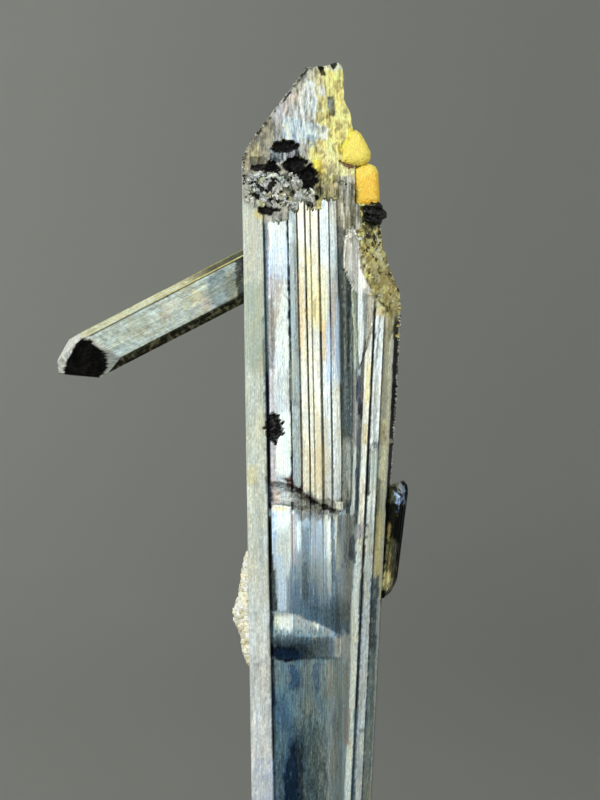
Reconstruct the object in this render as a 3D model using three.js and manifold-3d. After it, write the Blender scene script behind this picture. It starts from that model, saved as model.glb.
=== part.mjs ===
// A stibnite specimen: a slender lead-grey prism with ridged, slightly bent faces and a slanting, etched tip.
// A second prism has grown through its left side and a short one along its right edge, so the three are one
// solid. Two ochre blocks of the alteration mineral stibiconite sit at the shoulder, and a crust of pale
// grains clings low on the left side. Millimetres, +Z up. The broad ridged face looks along -Y.
// The origin is the centre of the flat cut at the base.
import * as THREE from "three";
import { ConvexGeometry } from "three/addons/geometries/ConvexGeometry.js";
import { mergeVertices } from "three/addons/utils/BufferGeometryUtils.js";
import Module from "manifold-3d";

const wasm = await Module();
wasm.setup();

// ---- Driving dimensions ---------------------------------------------------------------------------------

const SHOULDER = 60; // height at which the second column of each outline table is measured
const PRISM_TOP = 84; // the prism is lofted to here, then cut by the faces of the tip
const SEAT_GAP = 0.3; // clearance between the crystals and a piece that grew on them
const FAR = 60; // half the size of the blocks that stand for a half space

// Corners of the prism's cross-section, anticlockwise from above, starting at the left edge.
// Each is [x at the base, x at the shoulder, y at the base, y at the shoulder, groove depth].
// The groove depth is how far the corner lies in from the face, and it fades towards the base.
const LEFT_BEVEL = [
  [-5.71, -6.63, -2.5, -2.7, 0],
  [-3.44, -4.61, -3.9, -4.15, 0],
  [-3.31, -4.39, -3.5, -3.55, 0],
  [-3.09, -3.93, -3.95, -4.1, 0],
];
const RIDGED_FACE = [
  [-1.62, -2.22, -4.2, -4.75, 0],
  [-1.41, -2.07, -4.22, -4.78, 0.4],
  [-0.52, -1.16, -4.3, -4.85, 0.3],
  [-0.46, -1.08, -4.3, -4.87, 0],
  [0.18, -0.42, -4.35, -4.95, 0],
  [0.31, -0.29, -4.35, -4.95, 0.45],
  [0.43, -0.17, -4.36, -4.95, 0],
  [0.86, 0.34, -4.37, -4.97, 0.12],
  [1.47, 0.93, -4.38, -5.0, 0],
  [1.57, 1.03, -4.38, -5.0, 0.45],
  [1.67, 1.13, -4.38, -5.0, 0],
  [2.5, 1.9, -4.35, -4.95, 0],
  [2.58, 2.0, -4.35, -4.93, 0.25],
  [2.68, 2.12, -4.33, -4.9, 0],
  [3.0, 2.84, -4.3, -4.75, 0],
];
const RIGHT_BLADE = [
  [3.08, 4.24, -4.1, -3.7, 0],
  [3.24, 4.84, -4.05, -3.62, 0.1],
  [3.34, 5.8, -3.9, -3.55, 0],
  [3.75, 6.42, -3.85, -3.45, 0],
  [3.9, 6.64, -3.4, -3.0, 0],
  [4.1, 7.02, -3.45, -3.1, 0],
  [4.72, 7.46, -3.3, -3.05, 0],
  [4.88, 7.64, -3.0, -2.75, 0],
  [5.2, 8.6, -2.4, -2.1, 0],
  [5.69, 9.22, -0.7, -0.6, 0],
];
const BACK_FACES = [
  [5.6, 9.0, 1.0, 1.0, 0],
  [4.5, 7.4, 2.9, 3.0, 0],
  [4.25, 7.05, 2.75, 2.8, 0],
  [3.1, 5.0, 4.1, 4.3, 0],
  [2.9, 4.75, 3.85, 4.05, 0],
  [1.4, 2.5, 4.65, 5.05, 0],
  [1.25, 2.3, 4.45, 4.8, 0],
  [-0.4, -0.3, 4.85, 5.25, 0],
  [-0.55, -0.5, 4.65, 5.0, 0],
  [-2.1, -2.6, 4.45, 4.8, 0],
  [-2.3, -2.8, 4.2, 4.55, 0],
  [-4.3, -5.1, 3.1, 3.3, 0],
  [-4.5, -5.35, 2.85, 3.0, 0],
  [-5.75, -6.72, 0.9, 1.0, 0],
];

// By height: how far the whole cross-section is bent to the back, and what share of its depth a groove has.
const BEND = [[0, 0], [22.2, -0.55], [26.8, -0.5], [37, -0.35], [39.4, -0.25], [67, 1.15], [PRISM_TOP, 2.0]];
const GROOVE_SHARE = [[0, 0.15], [22.2, 0.25], [26.8, 0.6], [37, 0.75], [39.4, 1], [PRISM_TOP, 1]];
// The kink band: a swelling across the ridged face, with a bright upper slope and a dark underside.
const KINK_BAND = [[0, 0], [21.9, 0], [22.0, -0.3], [24.4, -0.62], [26.8, 0], [PRISM_TOP, 0]];
const LOFT_HEIGHTS = [0, 8, 15, 21.9, 22.0, 24.4, 26.8, 30.5, 34, 37, 39.4, 46, 53, 60, 67, PRISM_TOP];

// Faces of the tip: each is a point on the face and its outward normal.
const TIP_FRONT = { point: [0, -3.1, 67], normal: [0.019, -0.965, 0.26] };
const TIP_BACK = { point: [0, 2.3, 82], normal: [-0.05, 0.944, 0.33] };
const TIP_LEFT_LOWER = { point: [-6.86, -2.2, 71], normal: [-0.915, 0.09, 0.392] };
const TIP_LEFT_UPPER = { point: [-5.2, -1.0, 74.9], normal: [-0.797, 0.14, 0.588] };
// The steps of the tip's front: [left x, right x, height of its foot, setback].
const TIP_STEPS = [
  [-9, -4.6, 67.7, 0.35],
  [-4.6, -2.2, 65.8, 0.15],
  [-2.2, -1.1, 66.6, 0.3],
  [-1.1, -0.3, 67.6, 0],
  [-0.3, 1.05, 66.9, 0.2],
  [1.05, 2.9, 67.9, 0],
  [2.9, 4.6, 69.7, 0.25],
];
const LEDGE = 67.3; // the flat ledge on the right shoulder that carries the ochre blocks
// The skyline of the tip and the etched right shoulder, as [x, z], from the left of the top edge downwards.
const SKYLINE = [
  [-0.45, 81.4], [0.15, 81.35], [0.65, 81.5], [1.0, 81.15], [1.35, 81.1], [1.6, 81.6], [2.1, 81.7],
  [2.35, 81.3], [2.75, 82.0], [3.15, 81.7], [3.45, 80.7], [3.35, 79.9], [3.4, 78.0], [3.7, 77.4],
  [4.05, 76.6], [4.25, 75.4], [4.5, 73.6], [4.5, LEDGE], [7.0, LEDGE], [7.05, 65.0], [7.36, 63.0],
  [7.68, 62.0], [8.0, 61.0], [8.44, 60.0], [8.95, 59.0], [9.2, 58.2],
];
const SHOULDER_FACE = { point: [4.5, -3.3, 66.5], normal: [0.787, -0.59, 0.184] };
const SHOULDER_FOOT = 57; // the shoulder face is cut above this height

// The break across the ridged face: [x, upper z, lower z], and how deep it is for each millimetre of height.
const BREAK = [
  [-4.1, 39.8, 37.5], [-1.95, 39.9, 37.45], [-0.9, 38.7, 37.0], [1.3, 37.3, 36.5], [3.0, 36.9, 36.5],
];
const BREAK_DEPTH = 0.26;

// Cavities: [x, y, z, radius x, radius y, radius z].
const CAVITIES = [
  [-3.6, -4.4, 45.2, 0.95, 0.9, 1.5],
  [-2.6, -1.7, 73.5, 1.5, 1.2, 0.8],
  [-3.8, -2.2, 70.9, 1.05, 1.2, 1.0],
  [-1.6, -2.2, 71.2, 1.2, 1.4, 1.0],
  [-0.4, -2.5, 69.9, 1.0, 1.4, 1.25],
  [-0.5, -3.3, 68.1, 0.6, 0.8, 0.4],
  [-4.2, -3.6, 66.9, 1.3, 0.9, 0.5],
  [2.1, -0.2, 77.6, 0.35, 0.7, 0.85],
  [5.25, -3.9, 32.4, 0.22, 0.6, 1.0],
  [4.1, -4.3, 33.0, 0.4, 0.6, 0.8],
  [6.45, -3.5, 43.3, 0.3, 0.5, 0.4],
];
const CAVITY_ROUGHNESS = 0.4;

// Lumps that are one with the crystal: the rubble between the cavities, the knob under the ochre blocks, the
// etched shoulder and the edge beads.
const RUBBLE_LUMPS = 26;
const RUBBLE_LUMP_RADIUS = [0.28, 0.55];
const RUBBLE_SPAN = { x: [-6.2, -0.2], z: [66.9, 70.3] };
const KNOB = { centre: [6.35, -1.25, 66.7], radii: [1.3, 1.2, 1.25], roughness: 0.45 };
const SHOULDER_LUMPS = 26;
const SHOULDER_LUMP_RADIUS = [0.32, 0.6];
const SHOULDER_SPAN = [57.6, 66.4];
const EDGE_BEADS = 10;
const EDGE_BEAD_RADIUS = [0.16, 0.3];
const EDGE_BEAD_SPAN = [40.2, 55.8];

// The second prism, which reaches out to the left and slants down. Its outline is [across the axis, depth].
const SECOND = { seat: [-5.4, 1.35, 61.05], slope: 27.3, sideways: -0.03, length: 24, inside: 4 };
const SECOND_OUTLINE = [
  [2.4, 0.75], [1.55, 1.65], [0.3, 1.8], [0.1, 1.6], [-1.35, 1.7], [-2.35, 0.7], [-2.43, -0.8],
  [-1.75, -1.65], [-1.57, -1.78], [1.45, -1.75], [1.6, -1.6], [1.76, -1.5], [2.43, -0.75],
];
const SECOND_TIP = [
  { point: [-24.4, 0, 52.95], normal: [-0.744, -0.25, 0.619] },
  { point: [-22.0, -0.77, 53.7], normal: [-0.235, -0.906, -0.351] },
  { point: [-23.0, 0, 50.4], normal: [-0.1, -0.05, -0.99] },
  { point: [-24.9, 1.6, 51.2], normal: [-0.62, 0.74, 0.25] },
];

// The short prism along the right edge.
const SHORT = { foot: [7.85, -0.75, 27.6], head: [9.15, -0.75, 40.6] };
const SHORT_OUTLINE = [
  [1.12, -0.1], [0.95, 0.75], [0.1, 1.2], [-2.2, 0.8], [-2.4, -0.2], [-0.6, -1.15], [0.3, -1.3], [0.5, -1.1],
];
const SHORT_ENDS = [
  { point: [9.0, -1.2, 38.9], normal: [0.45, -0.56, 0.7] },
  { point: [8.6, -0.8, 39.6], normal: [-0.5, 0.2, 0.84] },
  { point: [8.2, -0.8, 28.6], normal: [0.62, -0.3, -0.72] },
  { point: [7.7, -0.8, 28.3], normal: [-0.1, 0.3, -0.95] },
];

// Ochre blocks: corner points of each convex lump.
const UPPER_BLOCK = [
  [4.35, -1.2, 75.1], [5.1, -1.3, 74.6], [5.95, -0.9, 73.1], [6.05, -0.7, 72.0], [5.3, -1.3, 71.6],
  [4.4, -1.9, 71.45], [3.3, -2.6, 71.9], [3.3, -1.9, 73.6], [4.4, 1.5, 75.0], [5.2, 1.6, 74.3],
  [6.0, 1.2, 72.8], [5.9, 1.4, 71.8], [3.8, 2.3, 71.6], [3.8, 2.4, 74.2],
];
const LOWER_BLOCK = [
  [4.75, -1.9, 71.1], [5.6, -2.0, 71.45], [6.5, -1.7, 71.4], [6.9, -1.3, 70.2], [6.98, -1.3, 68.7],
  [6.75, -1.6, 67.75], [4.85, -2.2, 67.65], [4.75, -2.3, 69.6], [4.8, 1.9, 71.2], [6.4, 1.6, 71.4],
  [6.85, 1.5, 70.0], [6.8, 1.6, 67.9], [4.85, 2.3, 67.7],
];

// The crust: [height, how far it stands out from the left edge], the solid behind its grains, and the grains.
const CRUST_OUTLINE = [
  [21.3, 0.25], [22.6, 0.75], [24.2, 0.95], [25.2, 1.3], [26.4, 1.7], [27.6, 1.3], [28.8, 1.0],
  [30.4, 0.75], [32.8, 0.3],
];
const CRUST_HALF_WIDTH = 1.75;
const CRUST_MIDDLE = -0.35; // front to back
const CRUST_BACKING = { inset: 0.5, height: 26.9, radii: [1.35, 1.5, 5.4] };
const CRUST_GRAINS = 84;
const GRAIN_RADIUS = [0.3, 0.5];

// ---- Helpers --------------------------------------------------------------------------------------------

// A repeatable number from 0 to 1 for item i and channel k.
function scatter(i, k) {
  const s = Math.sin(i * 127.1 + k * 311.7 + 17.3) * 43758.5453;
  return s - Math.floor(s);
}

// A number between the two ends of a range.
const within = ([low, high], share) => low + (high - low) * share;

// The value at height z of a table of [height, value] rows, in straight lines between the rows.
function along(table, z) {
  const last = table.length - 1;
  if (z <= table[0][0]) return table[0][1];
  if (z >= table[last][0]) return table[last][1];
  const i = table.findIndex(([height]) => height > z);
  const [z0, v0] = table[i - 1];
  const [z1, v1] = table[i];
  return v0 + ((v1 - v0) * (z - z0)) / (z1 - z0);
}

// A closed three.js geometry as a manifold-3d solid.
function solid(geometry) {
  const bare = geometry.clone();
  bare.deleteAttribute("normal");
  bare.deleteAttribute("uv");
  const merged = mergeVertices(bare, 1e-4);
  return new wasm.Manifold(
    new wasm.Mesh({
      numProp: 3,
      vertProperties: new Float32Array(merged.attributes.position.array),
      triVerts: new Uint32Array(merged.index.array),
    }),
  );
}

// A manifold-3d solid as a three.js geometry with flat faces.
function geometryOf(manifold) {
  const mesh = manifold.getMesh();
  const geometry = new THREE.BufferGeometry();
  geometry.setAttribute("position", new THREE.BufferAttribute(new Float32Array(mesh.vertProperties), 3));
  geometry.setIndex(new THREE.BufferAttribute(new Uint32Array(mesh.triVerts), 1));
  const faceted = geometry.toNonIndexed();
  faceted.computeVertexNormals();
  return faceted;
}

// The largest of the separate bodies in a solid.
function largest(body) {
  return body.decompose().sort((a, b) => b.volume() - a.volume())[0];
}

const joined = (bodies) => bodies.reduce((whole, body) => whole.add(body));

// A closed loft through rings of points that run anticlockwise round the way it goes, its ends flat.
// The outline is the first ring as [u, v] pairs, which says how the ends are filled.
function loft(rings, outline) {
  const n = outline.length;
  const last = (rings.length - 1) * n;
  const index = [];
  for (let start = 0; start < last; start += n) {
    for (let i = 0; i < n; i++) {
      const a = start + i;
      const b = start + ((i + 1) % n);
      index.push(a, b, b + n, a, b + n, a + n);
    }
  }
  const face = THREE.ShapeUtils.triangulateShape(outline.map(([u, v]) => new THREE.Vector2(u, v)), []);
  for (const [a, b, c] of face) index.push(a, c, b, last + a, last + b, last + c);
  const geometry = new THREE.BufferGeometry().setFromPoints(rings.flat());
  geometry.setIndex(index);
  return geometry;
}

// A straight prism: an outline of [u, v] carried from a start point, u kept upright and v kept to the back.
function prismAlong(outline, start, direction, length) {
  const forward = new THREE.Vector3(...direction).normalize();
  const back = new THREE.Vector3(0, 1, 0).addScaledVector(forward, -forward.y).normalize();
  const across = new THREE.Vector3().crossVectors(back, forward);
  const ringAt = (distance) =>
    outline.map(([u, v]) =>
      new THREE.Vector3(...start).addScaledVector(forward, distance).addScaledVector(across, u)
        .addScaledVector(back, v),
    );
  return solid(loft([ringAt(0), ringAt(length)], outline));
}

// Everything beyond a face, as a large block that lies on it. A setback moves it inwards.
function beyond({ point, normal }, setback = 0) {
  const out = new THREE.Vector3(...normal).normalize();
  const half = new THREE.BoxGeometry(2 * FAR, 2 * FAR, 2 * FAR);
  half.translate(0, 0, FAR - setback);
  half.applyQuaternion(new THREE.Quaternion().setFromUnitVectors(new THREE.Vector3(0, 0, 1), out));
  half.translate(...point);
  return solid(half);
}

const cutBy = (body, faces) => faces.reduce((rest, face) => rest.subtract(beyond(face)), body);

// A block between two corners.
function block([x0, y0, z0], [x1, y1, z1]) {
  const box = new THREE.BoxGeometry(x1 - x0, y1 - y0, z1 - z0);
  box.translate((x0 + x1) / 2, (y0 + y1) / 2, (z0 + z1) / 2);
  return solid(box);
}

// An outline of [x, z] points, made into a slab that runs front to back through everything.
function frontToBack(outline) {
  const points = outline.map(([x, z]) => new THREE.Vector2(x, z));
  const slab = new THREE.ExtrudeGeometry(new THREE.Shape(points), { depth: 2 * FAR, bevelEnabled: false });
  slab.translate(0, 0, -FAR);
  slab.rotateX(Math.PI / 2);
  return solid(slab);
}

const hull = (points) => solid(new ConvexGeometry(points.map((p) => new THREE.Vector3(...p))));

// A rough lump: an icosahedron with its corners moved in and out, turned at random if asked, and stretched.
function lump(centre, radii, seed, detail = 0, roughness = 0.3, turned = true) {
  const ball = new THREE.IcosahedronGeometry(1, detail);
  ball.deleteAttribute("normal");
  ball.deleteAttribute("uv");
  const rough = mergeVertices(ball, 1e-4);
  const at = rough.attributes.position;
  for (let i = 0; i < at.count; i++) {
    const reach = 1 - roughness / 2 + roughness * scatter(i + 31 * seed, 1);
    at.setXYZ(i, at.getX(i) * reach, at.getY(i) * reach, at.getZ(i) * reach);
  }
  if (turned) rough.rotateZ(2 * Math.PI * scatter(seed, 2)).rotateX(2 * Math.PI * scatter(seed, 3));
  rough.scale(...radii);
  rough.translate(...centre);
  return solid(rough);
}

// ---- The main crystal -----------------------------------------------------------------------------------

const CORNERS = [...LEFT_BEVEL, ...RIDGED_FACE, ...RIGHT_BLADE, ...BACK_FACES];
const FACE_START = LEFT_BEVEL.length - 1;
const FACE_END = LEFT_BEVEL.length + RIDGED_FACE.length - 1;
const RIGHT_EDGE = FACE_END + RIGHT_BLADE.length;

// One corner of the cross-section at height z.
function cornerAt(i, z) {
  const [x0, x1, y0, y1, groove] = CORNERS[i];
  const share = z / SHOULDER;
  const swell = i >= FACE_START && i <= FACE_END ? along(KINK_BAND, z) : 0;
  const depth = y0 + (y1 - y0) * share + groove * along(GROOVE_SHARE, z) + swell;
  return new THREE.Vector3(x0 + (x1 - x0) * share, depth + along(BEND, z), z);
}

function prism() {
  const rings = LOFT_HEIGHTS.map((z) => CORNERS.map((_, i) => cornerAt(i, z)));
  return solid(loft(rings, rings[0].map(({ x, y }) => [x, y])));
}

// Cuts the slanting tip, the stepped tops of the ridges, and the etched right shoulder.
function cutTip(body) {
  let cut = cutBy(body, [TIP_BACK, TIP_LEFT_LOWER, TIP_LEFT_UPPER]);
  const shoulder = block([-FAR, -FAR, SHOULDER_FOOT], [FAR, FAR, LEDGE]);
  cut = cut.subtract(beyond(SHOULDER_FACE).intersect(shoulder));
  for (const [left, right, foot, setback] of TIP_STEPS) {
    const column = block([left, -FAR, foot], [right, FAR, 2 * FAR]);
    cut = cut.subtract(beyond(TIP_FRONT, setback).intersect(column));
  }
  const sides = [[FAR, 58.2], [FAR, -1], [-FAR, -1], [-FAR, 81.4]];
  return cut.intersect(frontToBack([...SKYLINE, ...sides]));
}

// The break across the ridged face, as wedges that are open to the front.
function faceBreak() {
  const wedgeAt = ([x, upper, lower]) => {
    const height = upper - lower;
    const face = cornerAt(FACE_START + 8, lower).y;
    const deepest = face + BREAK_DEPTH * height;
    return [[x, face - 2, upper + 0.4], [x, deepest, lower + 0.4 * height], [x, face - 2, lower - 0.4]];
  };
  return joined(BREAK.slice(1).map((row, i) => hull([...wedgeAt(BREAK[i]), ...wedgeAt(row)])));
}

// The depth of the tip's front face at a point of it.
function tipFrontAt(x, z) {
  const { point, normal } = TIP_FRONT;
  return point[1] - (normal[0] * (x - point[0]) + normal[2] * (z - point[2])) / normal[1];
}

// Broken crystals on the foot of the tip, between the cavities.
function rubble() {
  return Array.from({ length: RUBBLE_LUMPS }, (_, i) => {
    const x = within(RUBBLE_SPAN.x, (i + scatter(i, 15)) / RUBBLE_LUMPS);
    const z = within(RUBBLE_SPAN.z, scatter(i, 16));
    const r = within(RUBBLE_LUMP_RADIUS, scatter(i, 17));
    return lump([x, tipFrontAt(x, z) + 0.15, z], [r, r, 1.2 * r], i + 400);
  });
}

// Lumps of altered mineral, scattered over the shoulder face.
function shoulderLumps() {
  return Array.from({ length: SHOULDER_LUMPS }, (_, i) => {
    const z = within(SHOULDER_SPAN, scatter(i, 5));
    const across = scatter(i, 6);
    const front = SHOULDER_FACE.point[0] + 0.23 * (SHOULDER_FACE.point[2] - z);
    const x = front + 0.3 + 2.2 * across;
    const r = within(SHOULDER_LUMP_RADIUS, scatter(i, 7));
    return lump([x, SHOULDER_FACE.point[1] + 0.55 + 1.32 * (x - front), z], [r, r, 1.3 * r], i);
  });
}

// Beads along the right edge.
function edgeBeads() {
  return Array.from({ length: EDGE_BEADS }, (_, i) => {
    const { x, y, z } = cornerAt(RIGHT_EDGE, within(EDGE_BEAD_SPAN, (i + 0.7 * scatter(i, 8)) / EDGE_BEADS));
    const r = within(EDGE_BEAD_RADIUS, scatter(i, 9));
    return lump([x - 0.02, y + 0.1, z], [r, r, 1.2 * r], i + 50);
  });
}

function mainCrystal() {
  let body = cutTip(prism()).subtract(faceBreak());
  CAVITIES.forEach(([x, y, z, rx, ry, rz], i) => {
    body = body.subtract(lump([x, y, z], [rx, ry, rz], i + 100, 1, CAVITY_ROUGHNESS));
  });
  const knob = lump(KNOB.centre, KNOB.radii, 7, 1, KNOB.roughness);
  return joined([body, knob, ...rubble(), ...shoulderLumps(), ...edgeBeads()]);
}

// ---- The crystals that grew into it ---------------------------------------------------------------------

function secondCrystal() {
  const { seat, slope, sideways, length, inside } = SECOND;
  const angle = THREE.MathUtils.degToRad(slope);
  const direction = new THREE.Vector3(-Math.cos(angle), sideways, -Math.sin(angle));
  const start = new THREE.Vector3(...seat).addScaledVector(direction, -inside);
  return cutBy(prismAlong(SECOND_OUTLINE, start.toArray(), direction.toArray(), length + inside), SECOND_TIP);
}

function shortCrystal() {
  const direction = new THREE.Vector3(...SHORT.head).sub(new THREE.Vector3(...SHORT.foot));
  return cutBy(prismAlong(SHORT_OUTLINE, SHORT.foot, direction.toArray(), direction.length()), SHORT_ENDS);
}

// ---- The alteration minerals ----------------------------------------------------------------------------

// What is left of a piece once it stands clear of what it grew on.
function clearOf(host, body) {
  const shifts = [[SEAT_GAP, 0, 0], [-SEAT_GAP, 0, 0], [0, -SEAT_GAP, 0], [0, 0, SEAT_GAP], [0, 0, 0]];
  return largest(shifts.reduce((rest, shift) => rest.subtract(host.translate(shift)), body));
}

function paleCrust() {
  const edge = (z) => cornerAt(0, z).x;
  const { inset, height, radii } = CRUST_BACKING;
  const backing = lump([edge(height) + inset, CRUST_MIDDLE, height], radii, 90, 1, 0.1, false);
  const span = [CRUST_OUTLINE[0][0] + 0.3, CRUST_OUTLINE[CRUST_OUTLINE.length - 1][0] - 0.3];
  const grains = Array.from({ length: CRUST_GRAINS }, (_, i) => {
    const z = within(span, (i + scatter(i, 11)) / CRUST_GRAINS);
    const side = 2 * scatter(i, 12) - 1;
    const r = within(GRAIN_RADIUS, scatter(i, 13));
    const rise = along(CRUST_OUTLINE, z);
    const stand = Math.max(0.1, rise * Math.sqrt(1 - 0.75 * side * side) - r);
    const y = CRUST_MIDDLE + side * CRUST_HALF_WIDTH * Math.min(1, 0.35 + 0.5 * rise);
    return lump([edge(z) - SEAT_GAP - stand, y, z], [r, r, r], i + 200);
  });
  return joined([backing, ...grains]);
}

// ---- Assembly -------------------------------------------------------------------------------------------

const stibnite = new THREE.MeshStandardMaterial({ color: 0x8b929b, metalness: 1, roughness: 0.3 });
const ochre = new THREE.MeshStandardMaterial({ color: 0xf0c23a, metalness: 0, roughness: 0.8 });
const pale = new THREE.MeshStandardMaterial({ color: 0xe6dfb8, metalness: 0, roughness: 0.85 });

function piece(name, body, material) {
  const mesh = new THREE.Mesh(geometryOf(body), material);
  mesh.name = name;
  return mesh;
}

const crystals = largest(joined([mainCrystal(), secondCrystal(), shortCrystal()]));
const lowerBlock = clearOf(crystals, hull(LOWER_BLOCK));
const upperBlock = clearOf(crystals.add(lowerBlock), hull(UPPER_BLOCK));

const specimen = new THREE.Group();
specimen.name = "stibnite_specimen";
specimen.add(
  piece("stibnite_crystals", crystals, stibnite),
  piece("ochre_block_upper", upperBlock, ochre),
  piece("ochre_block_lower", lowerBlock, ochre),
  piece("pale_crust", clearOf(crystals, paleCrust()), pale),
);

export default specimen;
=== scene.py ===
"""A stibnite specimen in a studio: a long ridged metallic crystal with a slanting, pitted tip.

A thinner prism crosses behind its left side, a short dark one lies along its right edge, ochre blocks of
stibiconite sit at the shoulder and a crust of pale grains clings low on the left. Every surface is worked
out with numpy as a grid of two parameters, in millimetres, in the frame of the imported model.
"""

import logging
import math
from dataclasses import dataclass
from enum import Enum
from typing import Any, Callable, Sequence

import bpy
import numpy as np
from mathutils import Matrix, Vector


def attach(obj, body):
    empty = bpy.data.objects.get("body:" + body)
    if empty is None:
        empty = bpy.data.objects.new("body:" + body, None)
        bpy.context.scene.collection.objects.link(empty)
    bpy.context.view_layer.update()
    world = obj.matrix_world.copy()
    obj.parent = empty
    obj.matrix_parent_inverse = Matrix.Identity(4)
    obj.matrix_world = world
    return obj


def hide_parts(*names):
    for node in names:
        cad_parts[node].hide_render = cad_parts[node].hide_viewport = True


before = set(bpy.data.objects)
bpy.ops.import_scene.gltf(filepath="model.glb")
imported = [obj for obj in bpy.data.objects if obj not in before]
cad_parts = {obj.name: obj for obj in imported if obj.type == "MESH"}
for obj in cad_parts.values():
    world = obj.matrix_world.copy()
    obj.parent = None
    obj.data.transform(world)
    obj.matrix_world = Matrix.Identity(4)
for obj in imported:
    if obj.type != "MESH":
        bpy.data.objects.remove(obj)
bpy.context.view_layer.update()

Array = np.ndarray
MM = 0.001  # one millimetre in Blender's metres
LUMA = np.array([0.3, 0.59, 0.11])  # how much red, green and blue add to lightness
HASH_WEIGHTS = (127.1, 311.7, 74.7, 53.3)
HASH_START = 17.3
HASH_SCALE = 43758.5453
SWAY = 0.45  # how far noise is swayed sideways, in lattice cells
log = logging.getLogger("stibnite")


# ---- Numbers and fields ----


def linear(colour: str) -> Array:
    """Turns an sRGB hex colour into linear light: c / 12.92 up to 0.04045, then ((c + 0.055) / 1.055)^2.4.

    Args:
        colour: six hex digits after a hash sign.

    Returns:
        Red, green and blue from 0 to 1.
    """
    srgb = np.array([int(colour[i : i + 2], 16) for i in (1, 3, 5)]) / 255.0
    return np.where(srgb <= 0.04045, srgb / 12.92, ((srgb + 0.055) / 1.055) ** 2.4)


def ramp(low: Any, high: Any, value: Array) -> Array:
    """A smooth step: 0 up to low, 1 from high, and 3t^2 - 2t^3 between them (low may be above high)."""
    t = np.clip((value - low) / (high - low), 0.0, 1.0)
    return t * t * (3.0 - 2.0 * t)


def band(low: Any, high: Any, soft: float, value: Array) -> Array:
    """1 between low and high, falling to 0 over the soft distance outside both."""
    return ramp(low - soft, low, value) * (1.0 - ramp(high, high + soft, value))


def along(table: Sequence[tuple[float, float]], value: Array) -> Array:
    """The height of a table of (place, height) rows at each value, in straight lines between the rows."""
    places, heights = zip(*table)
    return np.interp(value, places, heights)


def hashed(*indices: Array) -> Array:
    """A repeatable number for whole-number indices: the fraction of a large multiple of a sine.

    Args:
        *indices: up to four whole numbers.

    Returns:
        Numbers from 0 to 1.
    """
    total = sum(index * weight for index, weight in zip(indices, HASH_WEIGHTS))
    wave = np.sin(total + HASH_START) * HASH_SCALE
    return wave - np.floor(wave)


def noise(u: Array, v: Array, seed: int, octaves: int = 1) -> Array:
    """Value noise of two parameters: lattice values blended by smooth steps, each octave half the size.

    Both parameters are first swayed by sines of each other, so that no row of the lattice shows.

    Args:
        u: first parameter, one lattice cell for each unit.
        v: second parameter.
        seed: which pattern.
        octaves: how many halvings are summed.

    Returns:
        Numbers from -1 to 1.
    """
    u, v = u + SWAY * np.sin(1.9 * v + seed), v + SWAY * np.sin(1.7 * u + 2 * seed)
    total, weight = np.zeros(np.broadcast(u, v).shape), 0.0
    for octave in range(octaves):
        size = 2.0**octave
        cu, cv = np.floor(u * size), np.floor(v * size)
        fu, fv = u * size - cu, v * size - cv
        fu, fv = fu * fu * (3 - 2 * fu), fv * fv * (3 - 2 * fv)
        s = seed * 1.37 + octave * 5.1
        low = hashed(cu, cv, s) * (1 - fu) + hashed(cu + 1, cv, s) * fu
        high = hashed(cu, cv + 1, s) * (1 - fu) + hashed(cu + 1, cv + 1, s) * fu
        total = total + (low * (1 - fv) + high * fv) / size
        weight += 1 / size
    return 2.0 * total / weight - 1.0


def shaded(tint: Array, change: Array) -> Array:
    """Makes colours lighter or darker: tint times (1 + change)."""
    return tint * (1 + change)[..., None]


def blend(under: Array, over: Array, share: Array) -> Array:
    """Lays one colour over another: under times (1 - share) plus over times share."""
    share = share[..., None]
    return under * (1.0 - share) + over * share


def sheen(tint: Array, polish: Array) -> Array:
    """How metallic a film leaves the facet: fully where it is black, less where it is pale or dull."""
    light = tint @ LUMA
    return 0.95 - 0.33 * ramp(0.02, 0.15, light) - 0.5 * ramp(0.3, 0.45, polish) * ramp(0.05, 0.3, light)


def spread_out(counts: Array) -> tuple[Array, Array]:
    """Shares a ring's columns out among its facets.

    Args:
        counts: how many columns each facet has.

    Returns:
        Each column's facet, and how far along that facet it is, from 0 to 1.
    """
    owner = np.repeat(np.arange(len(counts)), counts)
    return owner, np.concatenate([np.arange(n) / n for n in counts])


def sampled(
    corners: Array, spacing: float, least: int
) -> tuple[Array, Array, Array]:
    """Places points along a closed outline.

    Args:
        corners: the outline's corners.
        spacing: about how far apart the points are.
        least: the fewest points that a side may have.

    Returns:
        The points, the side that each is on, and how far it is from each to the next.
    """
    sides = np.roll(corners, -1, axis=0) - corners
    lengths = np.hypot(*sides.T)
    counts = np.maximum(least, np.round(lengths / spacing).astype(int))
    owner, share = spread_out(counts)
    return corners[owner] + sides[owner] * share[:, None], owner, (lengths / counts)[owner]


# ---- Meshes ----


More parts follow.
